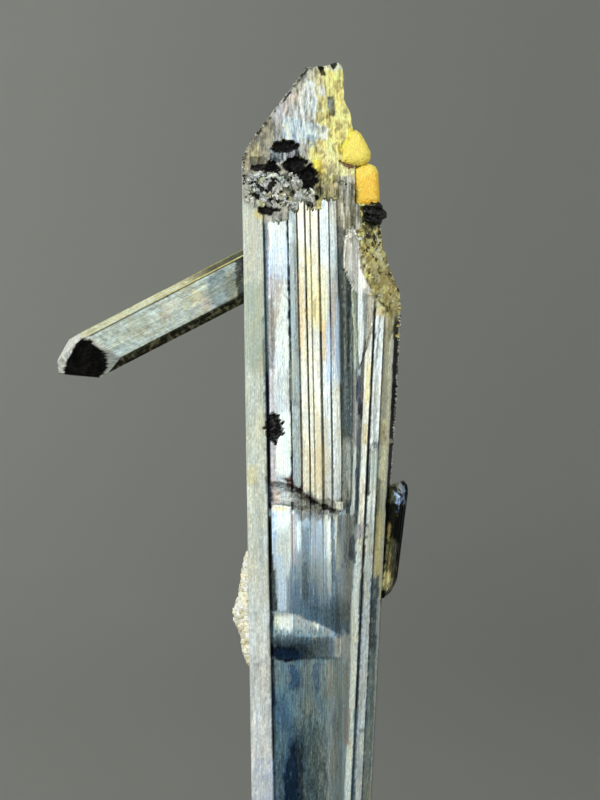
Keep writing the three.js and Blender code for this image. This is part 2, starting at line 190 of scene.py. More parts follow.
@dataclass
class Surface:
    """A mesh in the making: points in millimetres, faces, and what the finish reads at each point.

    Attributes:
        points: the corners, in millimetres.
        faces: the triangles.
        tint: colour in linear light.
        polish: roughness.
        metal: how metallic it is.
        grain: where the finish's marks lie, in millimetres; they run along its third direction.
    """

    points: Array
    faces: Array
    tint: Array
    polish: Array
    metal: Array
    grain: Array

    def speckle(self) -> Array:
        """How strong short marks are at each point: most on dark films, and more on metal than on stone."""
        return 0.12 + 0.18 * ramp(0.0, 0.1, self.metal) + 0.5 * ramp(0.45, 0.04, self.tint @ LUMA)

    def build(self, name: str, material: bpy.types.Material, crease: float = 35.0) -> bpy.types.Object:
        """Makes the Blender object.

        Args:
            name: the piece's name.
            material: its finish.
            crease: edges sharper than this many degrees stay sharp.

        Returns:
            The object, at the origin.
        """
        mesh = bpy.data.meshes.new(name)
        mesh.from_pydata((self.points * MM).tolist(), [], self.faces.tolist())
        tint = mesh.attributes.new("tint", "FLOAT_COLOR", "POINT")
        rgba = np.concatenate([np.clip(self.tint, 0, 1), np.ones((len(self.tint), 1))], axis=1)
        tint.data.foreach_set("color", rgba.astype(np.float32).ravel())
        for label, values in (("polish", self.polish), ("metal", self.metal), ("speckle", self.speckle())):
            layer = mesh.attributes.new(label, "FLOAT", "POINT")
            layer.data.foreach_set("value", np.clip(values, 0, 1).astype(np.float32).ravel())
        grain = mesh.attributes.new("grain", "FLOAT_VECTOR", "POINT")
        grain.data.foreach_set("vector", self.grain.astype(np.float32).ravel())
        mesh.polygons.foreach_set("use_smooth", np.ones(len(mesh.polygons), bool))
        mesh.set_sharp_from_angle(angle=math.radians(crease))
        mesh.materials.append(material)
        mesh.update()
        piece = bpy.data.objects.new(name, mesh)
        bpy.context.scene.collection.objects.link(piece)
        return piece


def ring_faces(rows: int, columns: int) -> Array:
    """Quads between closed rings that run anticlockwise from above, lowest ring first.

    Args:
        rows: how many rings.
        columns: how many points each ring has.

    Returns:
        Four point numbers for each quad.
    """
    r, c = np.meshgrid(np.arange(rows - 1), np.arange(columns), indexing="ij")
    a, b = r * columns + c, r * columns + (c + 1) % columns
    return np.stack([a, b, b + columns, a + columns], axis=-1).reshape(-1, 4)


def closed_rings(points: Array, fields: Sequence[Array]) -> Surface:
    """Closes a stack of rings with a fan to the middle of its first ring and one to that of its last.

    Args:
        points: rows by columns by 3, anticlockwise from above, lowest ring first.
        fields: tint, polish, metal and grain on the same grid.

    Returns:
        The closed surface.
    """
    rows, columns = points.shape[:2]
    lists = [grid.reshape(rows * columns, -1) for grid in (points, *fields)]
    lists = [np.concatenate([f, f[:columns].mean(0)[None], f[-columns:].mean(0)[None]]) for f in lists]
    places, tint, polish, metal, grain = lists
    c = np.arange(columns)
    n = (c + 1) % columns
    top = (rows - 1) * columns
    foot_fan = np.stack([n, c, np.full(columns, rows * columns)], 1)
    top_fan = np.stack([top + c, top + n, np.full(columns, rows * columns + 1)], 1)
    quads = ring_faces(rows, columns)
    faces = np.concatenate([quads[:, [0, 1, 2]], quads[:, [0, 2, 3]], foot_fan, top_fan])
    return Surface(places, faces, tint, polish.ravel(), metal.ravel(), grain)


ICOSAHEDRON_FACES = np.array(
    [
        (0, 11, 5), (0, 5, 1), (0, 1, 7), (0, 7, 10), (0, 10, 11), (1, 5, 9), (5, 11, 4), (11, 10, 2),
        (10, 7, 6), (7, 1, 8), (3, 9, 4), (3, 4, 2), (3, 2, 6), (3, 6, 8), (3, 8, 9), (4, 9, 5), (2, 4, 11),
        (6, 2, 10), (8, 6, 7), (9, 8, 1),
    ]
)


def icosahedron() -> tuple[Array, Array]:
    """A rounded grain: cyclic swaps of (0, 1, golden ratio), at a distance of 1.

    Returns:
        The 12 corners and the 20 triangles.
    """
    g = (1 + 5**0.5) / 2
    corners = [(-1, g, 0), (1, g, 0), (-1, -g, 0), (1, -g, 0), (0, -1, g), (0, 1, g)]
    corners += [(0, -1, -g), (0, 1, -g), (g, 0, -1), (g, 0, 1), (-g, 0, -1), (-g, 0, 1)]
    return np.array(corners) / math.hypot(1, g), ICOSAHEDRON_FACES


def splinter() -> tuple[Array, Array]:
    """A four-sided crystal splinter along Z with pointed ends: two square rings of corners and two points.

    Returns:
        The 10 corners and the 16 triangles.
    """
    around = np.arange(4) * math.pi / 2
    ring = np.stack([np.cos(around), np.sin(around), np.zeros(4)], 1)
    shank = (0, 0, 0.62)
    points = np.concatenate([ring - shank, ring + shank, [(0, 0, -1), (0, 0, 1)]])
    c = np.arange(4)
    n = (c + 1) % 4
    sides = np.concatenate([np.stack([c, n, n + 4], 1), np.stack([c, n + 4, c + 4], 1)])
    ends = np.concatenate([np.stack([n, c, np.full(4, 8)], 1), np.stack([c + 4, n + 4, np.full(4, 9)], 1)])
    return points, np.concatenate([sides, ends])


def turned(count: int, seed: int) -> Array:
    """Turns at random, from quaternions of four normal numbers.

    Args:
        count: how many turns.
        seed: which set of them.

    Returns:
        A rotation matrix for each turn.
    """
    w, x, y, z = np.random.default_rng(seed).normal(size=(4, count)) + 1e-9
    length = np.sqrt(w * w + x * x + y * y + z * z)
    w, x, y, z = w / length, x / length, y / length, z / length
    rows = [
        [1 - 2 * (y * y + z * z), 2 * (x * y - w * z), 2 * (x * z + w * y)],
        [2 * (x * y + w * z), 1 - 2 * (x * x + z * z), 2 * (y * z - w * x)],
        [2 * (x * z - w * y), 2 * (y * z + w * x), 1 - 2 * (x * x + y * y)],
    ]
    return np.moveaxis(np.array(rows), 2, 0)


def scattered(
    shape: tuple[Array, Array],
    centres: Array,
    sizes: Array,
    tints: Array,
    seed: int,
    roughness: float = 0.3,
    polish: float = 0.5,
    metal: float = 0.0,
) -> Surface:
    """Copies a small closed shape to many places, each turned, stretched and roughened differently.

    Each point is the shape's corner, moved in or out by up to half the roughness, times the copy's three
    sizes, turned, plus the copy's centre.

    Args:
        shape: corners and triangles of the small shape.
        centres: one place for each copy, in millimetres.
        sizes: three half sizes for each copy.
        tints: one colour for each copy.
        seed: which set of turns and dents.
        roughness: how far the corners move, as a share.
        polish: the copies' surface roughness.
        metal: how metallic they are.

    Returns:
        One surface that holds all the copies.
    """
    corners, faces = shape
    count = len(centres)
    reach = 1 + roughness * (np.random.default_rng(seed + 1).random((count, len(corners), 1)) - 0.5)
    local = corners[None] * reach * sizes[:, None, :]
    points = np.einsum("nij,nkj->nki", turned(count, seed), local) + centres[:, None, :]
    offsets = (np.arange(count) * len(corners))[:, None, None]
    spread = np.repeat(tints, len(corners), axis=0)
    points = points.reshape(-1, 3)
    triangles = (faces[None] + offsets).reshape(-1, 3)
    ones = np.ones(len(points))
    return Surface(points, triangles, spread, ones * polish, ones * metal, points)


# ---- Finishes ----


def add_node(
    tree: Any, kind: str, links: dict | None = None, values: dict | None = None, **settings: Any
) -> Any:
    """Adds one shader node.

    Args:
        tree: the node tree.
        kind: the node's type.
        links: input names or numbers to the sockets that feed them.
        values: input names or numbers to constants.
        **settings: the node's own properties.

    Returns:
        The node.
    """
    node = tree.nodes.new(kind)
    for key, value in settings.items():
        setattr(node, key, value)
    for key, value in (values or {}).items():
        node.inputs[key].default_value = value
    for key, source in (links or {}).items():
        tree.links.new(source, node.inputs[key])
    return node


SHORT_MARK_MM = 0.13  # the width of the short marks that speckle a dark film


@dataclass(frozen=True)
class MineralFinish:
    """A finish that reads its colour, polish and metallic share from the mesh, and adds fine relief.

    Attributes:
        name: what it is.
        grain_mm: how wide one mark of the relief is.
        stretch: how many times longer than wide the marks are.
        relief_mm: how deep the marks are.
        mottle: how much the marks change the colour's brightness.
        glint: how much the marks change the polish.
        cloud_mm: how wide the clouds of warmer and cooler colour are.
        cloud: how strong the clouds are.
        tone: how light the mesh's colours are taken to be.
    """

    name: str
    grain_mm: float
    stretch: float
    relief_mm: float
    mottle: float
    glint: float = 0.1
    cloud_mm: float = 1.2
    cloud: float = 0.5
    tone: float = 1.0

    def marks(self, tree: Any, width: float, stretch: float, detail: float) -> Any:
        """Noise in marks of one width and length, laid along the mesh's grain.

        Args:
            tree: the node tree.
            width: how wide a mark is, in millimetres.
            stretch: how many times longer it is.
            detail: how many finer marks are added.

        Returns:
            A socket with numbers from 0 to 1.
        """
        place = add_node(tree, "ShaderNodeAttribute", attribute_name="grain").outputs["Vector"]
        scale = (1 / width, 1 / width, 1 / (width * stretch))
        mapped = add_node(tree, "ShaderNodeMapping", {"Vector": place}, {"Scale": scale}).outputs[0]
        values = {"Scale": 1.0, "Detail": detail, "Roughness": 0.62}
        noise_node = add_node(tree, "ShaderNodeTexNoise", {"Vector": mapped}, values)
        spread = {"From Min": 0.28, "From Max": 0.72}
        return add_node(tree, "ShaderNodeMapRange", {"Value": noise_node.outputs["Fac"]}, spread).outputs[0]

    def material(self) -> bpy.types.Material:
        """Builds the material: the mesh's colour and roughness, varied by marks and clouds.

        Returns:
            The material.
        """
        material = bpy.data.materials.new(self.name)
        material.use_nodes = True
        tree = material.node_tree
        shader = tree.nodes["Principled BSDF"]
        read = {
            label: add_node(tree, "ShaderNodeAttribute", attribute_name=label).outputs[output]
            for label, output in (("tint", "Color"), ("speckle", "Fac"), ("polish", "Fac"), ("metal", "Fac"))
        }
        fine = self.marks(tree, self.grain_mm, self.stretch, 4.0)
        broad = self.marks(tree, self.cloud_mm, min(self.stretch, 3.0), 6.0)
        short = self.marks(tree, SHORT_MARK_MM, min(self.stretch, 2.6), 2.0)

        light_range = {"To Min": self.tone * (1 - self.mottle), "To Max": self.tone * (1 + self.mottle)}
        light = add_node(tree, "ShaderNodeMapRange", {"Value": fine}, light_range).outputs[0]
        both_ways = {"To Min": -1.0, "To Max": 1.0}
        evened = add_node(tree, "ShaderNodeMapRange", {"Value": short}, both_ways).outputs[0]
        spot_links = {0: evened, 1: read["speckle"]}
        spots = add_node(tree, "ShaderNodeMath", spot_links, {2: 1.0}, operation="MULTIPLY_ADD").outputs[0]
        light = add_node(tree, "ShaderNodeMath", {0: light, 1: spots}, operation="MULTIPLY").outputs[0]
        cool = (1 - 0.2 * self.cloud, 1.0, 1 + 0.14 * self.cloud)
        warm = (1 + 0.1 * self.cloud, 1.0, 1 - 0.34 * self.cloud)
        ends = {"A": cool, "B": warm}
        cast = add_node(tree, "ShaderNodeMix", {"Factor": broad}, ends, data_type="VECTOR").outputs["Result"]
        colour = read["tint"]
        for factor in (light, cast):
            links = {0: colour, 1: factor}
            colour = add_node(tree, "ShaderNodeVectorMath", links, operation="MULTIPLY").outputs[0]

        shift_range = {"To Min": -self.glint, "To Max": self.glint}
        shift = add_node(tree, "ShaderNodeMapRange", {"Value": fine}, shift_range).outputs[0]
        rough_links = {0: read["polish"], 1: shift}
        rough = add_node(tree, "ShaderNodeMath", rough_links, operation="ADD", use_clamp=True).outputs[0]
        relief = {"Strength": 1.0, "Distance": self.relief_mm * MM}
        bump = add_node(tree, "ShaderNodeBump", {"Height": fine}, relief).outputs[0]
        sources = {"Base Color": colour, "Roughness": rough, "Metallic": read["metal"], "Normal": bump}
        for socket, source in sources.items():
            tree.links.new(source, shader.inputs[socket])
        return material


# Antimony sulphide, grown slowly: a lead-grey metal in long steps, filmed with straw, blue and violet.
STIBNITE = MineralFinish(
    "stibnite_striated",
    grain_mm=0.075, stretch=60, relief_mm=0.006, mottle=0.36, glint=0.06, cloud=0.6, tone=0.72,
)
# The tip and the shoulder, eaten back along the grain: short upright fibres, half dull.
ETCHED = MineralFinish(
    "stibnite_etched", grain_mm=0.1, stretch=2, relief_mm=0.03, mottle=0.3, glint=0.12, tone=0.71
)
# Stibiconite, an ochre of antimony: an earthy powder that holds together in granular blocks.
STIBICONITE = MineralFinish(
    "stibiconite_earthy", grain_mm=0.16, stretch=1, relief_mm=0.05, mottle=0.16, cloud=0.3
)
# The crust: sugary grains, slightly glassy on their faces.
SUGARY = MineralFinish("pale_sugary_crust", grain_mm=0.1, stretch=1, relief_mm=0.01, mottle=0.1, cloud=0.3)


class Tint(Enum):
    """The colours that the minerals take: their films and stains, and painted shade and highlight."""

    WHITE = "#d9e1e3"
    SILVER = "#c3ccd0"
    PALE_BLUE = "#bcd4f2"
    FROST = "#d3e9ff"
    SKY = "#9dbbe6"
    LILAC = "#b6b2bb"
    CREAM = "#e8e8da"
    STRAW = "#ecdf9c"
    YELLOW = "#f6da38"
    AMBER = "#e4bc76"
    PINK = "#f1dccf"
    ROSE = "#a8978d"
    SAND = "#c9b98f"
    STEEL = "#9ba9ad"
    SLATE = "#54656e"
    DUSK = "#323d4c"
    NAVY = "#0b2242"
    BLUE = "#1c4f88"
    TEAL = "#4c7080"
    INK = "#090b0d"
    # Painted shade: in the left groove, on facets that turn away from the light, and under the ochre.
    DEEP_SHADE = "#2c3331"
    SHADE = "#434d49"
    PEARL = "#efeeea"
    STONE = "#f2f0ca"
    BROWN = "#503f31"
    UMBER = "#8b7c4c"
    OLIVE = "#b5b493"
    MOSS = "#565a3c"
    GREY = "#8b908a"
    SMOKE = "#64635a"
    SAGE = "#b6c2b0"
    MINT = "#e9f4f0"
    LEAD = "#b5b3a8"
    FROSTED = "#d9e0d3"
    RUST = "#4a1c12"
    TARNISH_STRAW = "#e9dcae"
    TARNISH_BLUE = "#8fa6b8"
    BEVEL = "#e8eaee"
    LOWER_PALE = "#b4c6d6"
    LOWER_SLATE = "#6e8faa"
    BOTTOM_BLUE = "#7398ac"
    BOTTOM_GREY = "#8fa5a8"
    TIP_GREY = "#aeada3"
    TIP_STRAW = "#f3e48c"
    TIP_RIM = "#12120e"
    SLOPE_STRAW = "#f6e88c"
    SLOPE_OLIVE = "#a08a3c"
    SLOPE_DARK = "#1d1c0e"
    SLOPE_PALE = "#fffbd0"
    FIBRE = "#8b8873"
    FIBRE_PALE = "#efeee4"
    FIBRE_DARK = "#3a3826"
    # Painted shade in the cavities, and the cracks' own dark.
    HOLLOW = "#1c0f0c"
    # Painted shadow on the crossing crystal's ledge, near the main crystal.
    LEDGE_DARK = "#2c2b1a"
    LEDGE_YELLOW = "#f6e45c"
    HEART = "#3d3129"
    DUST = "#a9a07a"
    JET = "#050605"
    OCHRE = "#ffee72"
    OCHRE_ORANGE = "#ffbc16"
    OCHRE_PALE = "#fff0a0"
    KNOB = "#0b0b0a"
    KNOB_SPECK = "#77735a"

    @property
    def rgb(self) -> Array:
        """The colour in linear light."""
        return linear(self.value)


# ---- The main crystal ----


BELLY = 42.0  # the heights at which an edge's three places are measured: the base, here, and the top
TOP = 65.0


@dataclass(frozen=True)
class Edge:
    """An upright edge of the crystal, and the facet that follows it anticlockwise from above.

    Attributes:
        x_foot, x_belly, x_top: how far right it is at the base, at the belly and at the top.
        y_foot, y_top: how far back it is.
        groove: how far it lies in from the face where the grooves are full.
        columns: how many grid columns the facet has.
        tint: the facet's film; on the narrow dark facets, painted shade.
        polish: the facet's surface roughness.
    """

    x_foot: float
    x_belly: float
    x_top: float
    y_foot: float
    y_top: float
    groove: float
    columns: int
    tint: Tint
    polish: float = 0.24


# The narrow INK, DUSK and SMOKE facets are painted shade in the grooves between the stripes, and the last INK
# one is painted shade on the thin right edge, turned away from the light.
FRONT_EDGES = (
    Edge(-5.71, -6.35, -6.71, -2.5, -2.72, 0, 12, Tint.FROSTED, 0.42),
    Edge(-3.44, -4.27, -4.72, -3.9, -4.17, 0, 1, Tint.INK),
    Edge(-3.31, -4.15, -4.55, -3.75, -3.95, 0, 2, Tint.DUSK),
    Edge(-3.12, -3.93, -4.06, -3.95, -4.2, 0, 3, Tint.LILAC),
    Edge(-2.7, -3.4, -3.9, -4.03, -4.3, 0, 14, Tint.SILVER),
    Edge(-1.62, -1.9, -2.34, -4.2, -4.8, 0, 1, Tint.DUSK),
    Edge(-1.5, -1.76, -2.2, -4.21, -4.81, 0.35, 1, Tint.DUSK),
    Edge(-1.41, -1.62, -2.06, -4.22, -4.82, 0.06, 6, Tint.STEEL),
    Edge(-0.62, -0.95, -1.4, -4.28, -4.88, 0, 1, Tint.LEAD),
    Edge(-0.54, -0.82, -1.3, -4.29, -4.9, 0.3, 1, Tint.SMOKE),
    Edge(-0.46, -0.68, -1.22, -4.3, -4.92, 0, 6, Tint.CREAM),
    Edge(0.18, -0.08, -0.6, -4.35, -5, 0, 1, Tint.LEAD),
    Edge(0.26, 0, -0.5, -4.35, -5, 0.35, 1, Tint.SMOKE),
    Edge(0.35, 0.1, -0.4, -4.36, -5, 0, 4, Tint.CREAM),
    Edge(0.8, 0.42, -0.03, -4.36, -5, 0, 1, Tint.LEAD),
    Edge(0.84, 0.5, 0.03, -4.36, -5, 0.16, 1, Tint.GREY),
    Edge(0.9, 0.6, 0.1, -4.37, -5.01, 0, 6, Tint.CREAM),
    Edge(1.45, 1.15, 0.77, -4.38, -5.03, 0, 1, Tint.LEAD),
    Edge(1.55, 1.32, 0.88, -4.38, -5.03, 0.4, 1, Tint.SMOKE),
    Edge(1.67, 1.47, 0.98, -4.38, -5.04, 0, 8, Tint.WHITE),
    Edge(2.3, 2.15, 1.85, -4.36, -5, 0, 1, Tint.GREY),
    Edge(2.36, 2.3, 1.91, -4.35, -4.98, 0.2, 1, Tint.SMOKE),
    Edge(2.43, 2.44, 1.97, -4.34, -4.97, 0, 7, Tint.WHITE),
    Edge(2.62, 3.18, 2.7, -4.3, -4.8, 0, 5, Tint.SHADE),
    Edge(2.8, 3.72, 3.4, -4.2, -4.4, 0.1, 6, Tint.SHADE),
    Edge(2.92, 4.3, 4.2, -4.1, -3.95, 0, 5, Tint.GREY),
    Edge(3, 4.62, 4.8, -4, -3.68, 0.08, 10, Tint.STEEL),
    Edge(3.05, 5.1, 6.2, -3.93, -3.53, 0, 6, Tint.CREAM),
    Edge(3.7, 5.68, 6.78, -3.87, -3.42, 0, 2, Tint.DUSK),
    Edge(3.9, 5.86, 6.93, -3.5, -3.08, 0, 1, Tint.DUSK),
    Edge(4.12, 6.05, 7.04, -3.5, -3.12, 0, 8, Tint.WHITE),
    Edge(4.76, 6.78, 7.88, -3.3, -3.03, 0, 1, Tint.INK),
    Edge(4.9, 7, 8.05, -3, -2.73, 0, 7, Tint.STONE, 0.38),
    Edge(5.74, 7.83, 8.93, -1.6, -2.14, 0, 8, Tint.INK, 0.3),
)
BACK_EDGES = (
    Edge(5.69, 8.16, 9.51, -0.7, -0.59, 0, 4, Tint.STEEL, 0.3),
    Edge(5.6, 7.98, 9.28, 1, 1, 0, 5, Tint.GREY, 0.25),
    Edge(4.5, 6.53, 7.64, 2.9, 3.01, 0, 1, Tint.DUSK),
    Edge(4.25, 6.21, 7.28, 2.75, 2.8, 0, 5, Tint.STEEL, 0.25),
    Edge(3.1, 4.43, 5.16, 4.1, 4.32, 0, 1, Tint.DUSK),
    Edge(2.9, 4.2, 4.9, 3.85, 4.07, 0, 4, Tint.STEEL, 0.22),
    Edge(1.4, 2.17, 2.59, 4.65, 5.08, 0, 1, Tint.DUSK),
    Edge(1.25, 1.98, 2.39, 4.45, 4.83, 0, 5, Tint.GREY, 0.25),
    Edge(-0.4, -0.33, -0.29, 4.85, 5.28, 0, 1, Tint.DUSK),
    Edge(-0.55, -0.52, -0.5, 4.65, 5.03, 0, 4, Tint.CREAM, 0.25),
    Edge(-2.1, -2.45, -2.64, 4.45, 4.83, 0, 1, Tint.DUSK),
    Edge(-2.3, -2.65, -2.84, 4.2, 4.58, 0, 5, Tint.STEEL, 0.25),
    Edge(-4.3, -4.86, -5.17, 3.1, 3.32, 0, 1, Tint.DUSK),
    Edge(-4.5, -5.1, -5.42, 2.85, 3.01, 0, 5, Tint.FROSTED, 0.35),
    Edge(-5.75, -6.43, -6.8, 0.9, 1.01, 0, 6, Tint.FROSTED, 0.45),
)


@dataclass(frozen=True)
class Film:
    """A film of colour on the front, between a left and a right edge that run from row to row.

    Attributes:
        colour: the film's colour.
        rows: (height, left, right), in millimetres.
        strength: how much it covers, up to 1.
        soft: how wide its sides fade.
        fade: how far its ends fade.
        ragged: how far noise moves its edges.
        mottle: how much noise breaks it up where it fades.
    """

    colour: Tint
    rows: tuple
    strength: float = 0.9
    soft: float = 0.08
    fade: float = 0.5
    ragged: float = 0.06
    mottle: float = 0.5

    def lay(self, under: Array, x: Array, z: Array, front: Array) -> Array:
        """Lays the film over the colours of a grid, on its front side.

        Args:
            under: the colours so far.
            x, z: the grid's places.
            front: how much each place takes a film, up to 1.

        Returns:
            The new colours.
        """
        heights, lefts, rights = zip(*sorted(self.rows))
        seed = int(abs(heights[0] * 13 + lefts[0] * 31)) % 997
        near = (front > 0) & (np.abs(z - (heights[0] + heights[-1]) / 2) < (heights[-1] - heights[0]) / 2 + 1)
        near &= (x > min(lefts) - 0.8) & (x < max(rights) + 0.8)
        x, z = x[near], z[near]
        move = self.ragged * noise(x / 0.35, z / 0.7, seed, 2)
        share = band(np.interp(z, heights, lefts) + move, np.interp(z, heights, rights) + move, self.soft, x)
        share = share * band(heights[0] + self.fade / 3, heights[-1] - self.fade / 3, self.fade, z + 2 * move)
        share = ramp(0.15, 0.85, share + self.mottle * noise(x / 0.13, z / 0.5, seed + 1, 2))
        share = share * self.strength * (0.94 + 0.06 * noise(x / 0.4, z / 1.3, seed + 2)) * front[near]
        laid = under.copy()
        laid[near] = blend(under[near], self.colour.rgb, share)
        return laid


# Films of the long upper part, from left to right.
UPPER_FILMS = (
    Film(Tint.CREAM, ((67.5, -6.9, -4.7), (61, -6.8, -4.7)), 0.5, 0.3, 2),
    Film(Tint.STRAW, ((41.2, -6.3, -5.2), (39.6, -6.3, -5.4)), 0.5, 0.3, 0.5, 0.1),
    Film(Tint.CREAM, ((67, -5.6, -4.9), (60, -5.6, -4.8)), 0.5, 0.2),
    Film(Tint.SAGE, ((59, -6.7, -4.5), (51.5, -6.6, -4.3)), 0.75, 0.3, 3),
    Film(Tint.STRAW, ((66.7, -5.6, -4.9), (65.9, -5.4, -4.7)), 0.9, 0.07, 0.5, 0.15),
    Film(Tint.GREY, ((66.5, -4.4, -4.02), (62, -4.45, -4.1)), 0.8, 0.07),
    Film(Tint.WHITE, ((65.6, -4.02, -2.4), (65, -4.02, -2.35), (61.5, -3.9, -2.3)), 0.7, 0.1, 0.15, 0.1),
    Film(Tint.PALE_BLUE, ((63, -3.9, -2.4), (60.5, -3.9, -2.4)), 0.5, 0.4, 1.5, 0.3, 1.2),
    Film(Tint.GREY, ((66.6, -4.1, -2.2), (65.8, -4.1, -2.2)), 0.85, 0.07, 0.12),
    Film(
        Tint.ROSE,
        ((60.3, -3.7, -2.9), (57.5, -3.9, -2.8), (55.5, -3.8, -3.2), (54, -3.8, -3.5)),
        0.5, 0.35, 2.2, 0.3, 1.4,
    ),
    Film(Tint.MINT, ((58.5, -2.8, -2.3), (55, -3.3, -2.25), (51, -3.4, -2.1)), 0.75, 0.25, 2.2, 0.2, 1.1),
    Film(Tint.MINT, ((46.5, -3.1, -2), (43, -3.3, -1.95), (40.6, -3.3, -1.95)), 0.95, 0.12, 0.8, 0.1),
    Film(Tint.SMOKE, ((58, -4.1, -3.8), (55, -4.1, -3.5), (53, -4.05, -3.55), (51, -4, -3.8)), 0.7, 0.12),
    Film(Tint.MINT, ((65.5, -2.05, -1.75), (57, -1.95, -1.55), (48, -1.9, -1.6)), 0.6, 0.07),
    Film(Tint.STEEL, ((65.5, -1.75, -1.45), (61, -1.7, -1.45)), 0.6, 0.07),
    Film(Tint.SLATE, ((63.5, -2, -1.25), (55, -1.85, -1.1), (47.5, -1.7, -1)), 0.5, 0.15, 1.5),
    Film(Tint.STEEL, ((52, -1.5, -1.05), (48, -1.4, -0.95)), 0.6, 0.1, 0.8),
    Film(Tint.AMBER, ((60.5, -1.1, -0.85), (56, -1.05, -0.6), (53, -1, -0.75)), 0.4, 0.2, 1.5, 0.06, 0.7),
    Film(Tint.BROWN, ((59, -0.52, -0.3), (56, -0.48, -0.28)), 0.7, 0.06, 0.8),
    Film(Tint.STRAW, ((62.5, -0.35, 0), (56, -0.2, 0.1)), 0.5, 0.2, 2, 0.06, 0.7),
    Film(Tint.STRAW, ((60, 0.2, 0.7), (57, 0.25, 0.8), (55.5, 0.3, 0.9)), 0.5, 0.2, 2, 0.06, 0.7),
    Film(Tint.UMBER, ((58, 0.35, 0.55), (56.2, 0.35, 0.55)), 0.55, 0.08, 0.4, 0.1),
    Film(Tint.STRAW, ((61, 1.05, 1.5), (58, 1, 1.65), (55, 1.05, 1.6)), 0.55, 0.25, 1.8, 0.08, 0.7),
    Film(Tint.AMBER, ((55.5, 1.2, 1.5), (52, 1.25, 1.6)), 0.45, 0.15, 1, 0.1, 0.7),
    Film(Tint.SKY, ((55.5, 1.7, 2.05), (51, 1.75, 2.15), (49.8, 1.8, 2.1)), 0.6, 0.2, 1.5, 0.06, 0.7),
    Film(
        Tint.ROSE,
        ((59.5, 2.1, 2.5), (57, 2.1, 2.5), (54.5, 2.15, 2.5), (52, 2.3, 2.6)),
        0.6, 0.15, 1.5, 0.1, 0.8,
    ),
    Film(Tint.PALE_BLUE, ((57.8, 2.5, 2.85), (53, 2.55, 2.95), (49.5, 2.6, 3)), 0.8, 0.12, 1.5),
    Film(Tint.SAND, ((46.5, 0.55, 1), (43, 0.6, 1.1), (39.5, 0.7, 1.1)), 0.65, 0.1, 0.8, 0.08),
    Film(Tint.CREAM, ((50, 2.3, 2.8), (46, 2.4, 2.9)), 0.5, 0.12, 0.8),
    Film(Tint.SAND, ((46, 1.45, 1.8), (40.5, 1.5, 1.9)), 0.5, 0.12, 0.8, 0.1),
    Film(Tint.LILAC, ((44.5, -3.95, -3.5), (39.6, -3.95, -3.4)), 0.8, 0.07),
    # The SLATE and DUSK films along the left groove are painted shade in it.
    Film(
        Tint.SLATE,
        ((66, -4.78, -4.1), (60, -4.74, -4.1), (54, -4.66, -4.1), (50, -4.58, -4.1)),
        0.85, 0.05, 0.4, 0.03, 0.3,
    ),
    Film(Tint.DUSK, ((50.5, -4.58, -4.1), (44, -4.45, -4), (39, -4.36, -3.95)), 0.8, 0.05, 0.6, 0.03, 0.3),
    Film(Tint.SAND, ((43, -0.6, 1.9), (38.5, -0.3, 1.9)), 0.35, 0.3, 1.2, 0.1, 0.8),
    Film(Tint.SMOKE, ((68, 2.65, 3.4), (63, 2.75, 3.4)), 0.75, 0.08, 0.4, 0.08),
    Film(Tint.ROSE, ((67.8, 2.7, 3.3), (66, 2.75, 3.2)), 0.6, 0.1, 0.4, 0.15),
)
